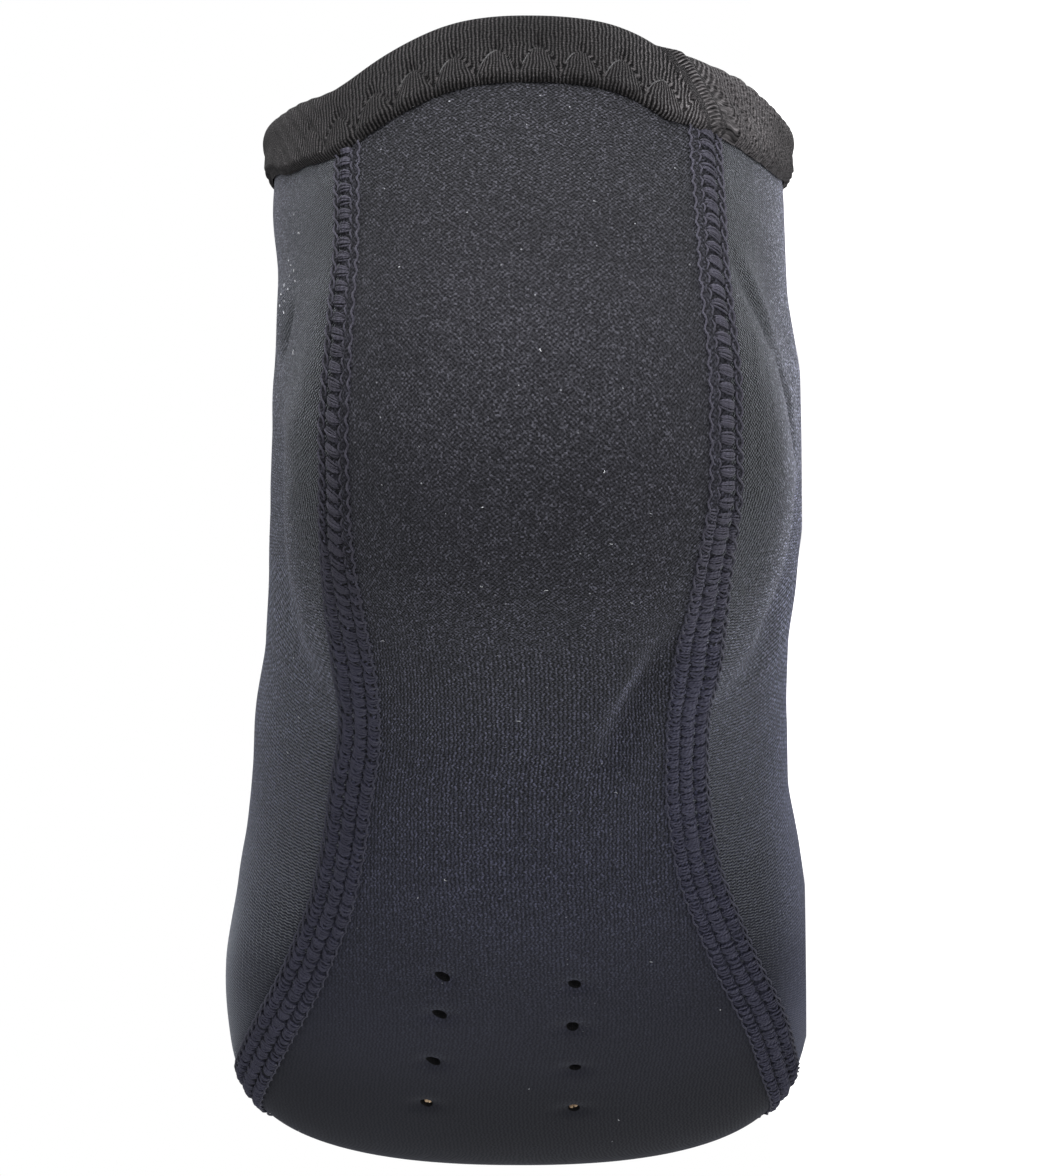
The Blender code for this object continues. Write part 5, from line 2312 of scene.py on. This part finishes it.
@dataclass(frozen=True)
class SoftLight:
    """A square area light: its place and aim in metres, size and power."""

    name: str
    place: tuple[float, float, float]
    aim: tuple[float, float, float]
    size: float
    power: float
    colour: Colour = (1.0, 1.0, 1.0)

    def build(self) -> Piece:
        """Hang the light.

        Returns:
            The light.
        """
        MeshBench.clear()
        bpy.ops.object.light_add(type="AREA", location=self.place)
        lamp = bpy.context.active_object
        lamp.name = self.name
        lamp.data.shape = "SQUARE"
        lamp.data.size = self.size
        lamp.data.energy = self.power
        lamp.data.color = self.colour
        lamp.visible_camera = False
        lamp.rotation_euler = (Vector(self.aim) - Vector(self.place)).to_track_quat("-Z", "Y").to_euler()
        return lamp


@dataclass
class Studio:
    """Pale floor, soft light and a camera low behind the heel, rolled so that the collar is up."""

    last: SockLast
    finishes: FinishBook
    turn_deg: float = 26.0
    distance: float = 1000.0
    look: tuple[float, float, float] = (23.0, 69.0, 36.2)
    eye_height: float = 6.0
    roll_deg: float = -1.0
    pixels_per_mm: float = 7.76
    sensor: float = 36.0
    floor_size: float = 12.0
    backdrop: float = 1.0
    ambient: float = 0.62
    sky_slope: tuple[float, float, float] = (0.55, -0.75, 0.10)
    lights: tuple[SoftLight, ...] = (
        SoftLight("collar_soft", (0.9, -0.9, 0.45), (0.0, -0.05, 0.03), 0.8, 4.0),
        SoftLight("floor_bounce", (0.10, -0.27, 0.003), (0.06, 0.0, 0.12), 0.26, 1.2),
    )

    def build(self) -> None:
        """Set up the floor, the surroundings, the lights and the camera."""
        self.floor()
        self.surroundings()
        for light in self.lights:
            light.build()
        self.camera()

    def floor(self) -> None:
        """Lay the floor."""
        piece = MeshBench.grid("floor", 8, 8)
        across, along = MeshBench.shares(piece)
        flat = np.stack([across - 0.5, along - 0.5, np.zeros(across.shape)], axis=-1)
        MeshBench.set_points(piece, flat * self.floor_size)
        MeshBench.give(piece, self.finishes.floor)

    def surroundings(self) -> None:
        """Surround the sock with plain white, as bright as asked to the eye and softer as light."""
        world = bpy.data.worlds.new("white_room")
        world.use_nodes = True
        bpy.context.scene.world = world
        bench = NodeBench(world.node_tree)
        ground = world.node_tree.nodes["Background"]
        ground.inputs["Color"].default_value = (1.0, 1.0, 1.0, 1.0)
        surface = bench.node("ShaderNodeTexCoord")
        slope = bench.node("ShaderNodeVectorMath", operation="DOT_PRODUCT")
        bench.feed(slope.inputs[0], surface.outputs["Generated"])
        slope.inputs[1].default_value = self.sky_slope
        light = bench.times(bench.math("ADD", slope.outputs["Value"], 1.0), self.ambient)
        path = bench.node("ShaderNodeLightPath")
        light = bench.math("MAXIMUM", light, 0.03)
        strength = bench.blend(path.outputs["Is Camera Ray"], light, self.backdrop)
        bench.feed(ground.inputs["Strength"], strength)

    def camera(self) -> None:
        """Stand the camera just above the floor and roll it on its side."""
        turn = math.radians(self.turn_deg)
        look = np.array(self.look)
        eye = look + self.distance * np.array([-math.sin(turn), -math.cos(turn), 0.0])
        eye[2] = self.eye_height
        ahead = (look - eye) / np.linalg.norm(look - eye)
        right = np.cross(ahead, np.array([math.cos(turn), -math.sin(turn), 0.0]))
        right /= np.linalg.norm(right)
        up = np.cross(right, ahead)
        roll = math.radians(self.roll_deg)
        right = right * math.cos(roll) + up * math.sin(roll)
        up = np.cross(right, ahead)
        place = (eye - np.array(self.last.centre)) * MM
        axes = Matrix([[right[k], up[k], -ahead[k], place[k]] for k in range(3)] + [[0.0, 0.0, 0.0, 1.0]])
        MeshBench.clear()
        bpy.ops.object.camera_add()
        camera = bpy.context.active_object
        camera.name = "camera"
        camera.matrix_world = axes
        camera.data.sensor_width = self.sensor
        camera.data.lens = self.sensor * self.pixels_per_mm * self.distance / max(IMAGE_SIZE)
        camera.data.clip_start = 0.02
        camera.data.clip_end = 60.0
        bpy.context.scene.camera = camera


def report(pieces: list[Piece]) -> None:
    """Log each piece with its number of triangles."""
    for piece in pieces:
        triangles = sum(len(face.vertices) - 2 for face in piece.data.polygons)
        LOG.info("%s: %d triangles", piece.name, triangles)


def main() -> None:
    """Build the sock piece by piece, then the studio round it."""
    logging.basicConfig(level=logging.INFO, format="%(name)s %(message)s")
    bpy.context.scene.view_settings.view_transform = "Standard"
    last = SockLast()
    skin = ClothSkin(last)
    finishes = FinishBook(Effects())
    report([SolePanel(skin, finishes).build()])
    report([UpperPanel(skin, finishes).build()])
    report(FlatlockSeam(skin, finishes).build())
    report(CollarTape(skin, finishes).build())
    report(LooseBits(skin, finishes).build())
    Studio(last, finishes).build()


if __name__ == "__main__":
    main()
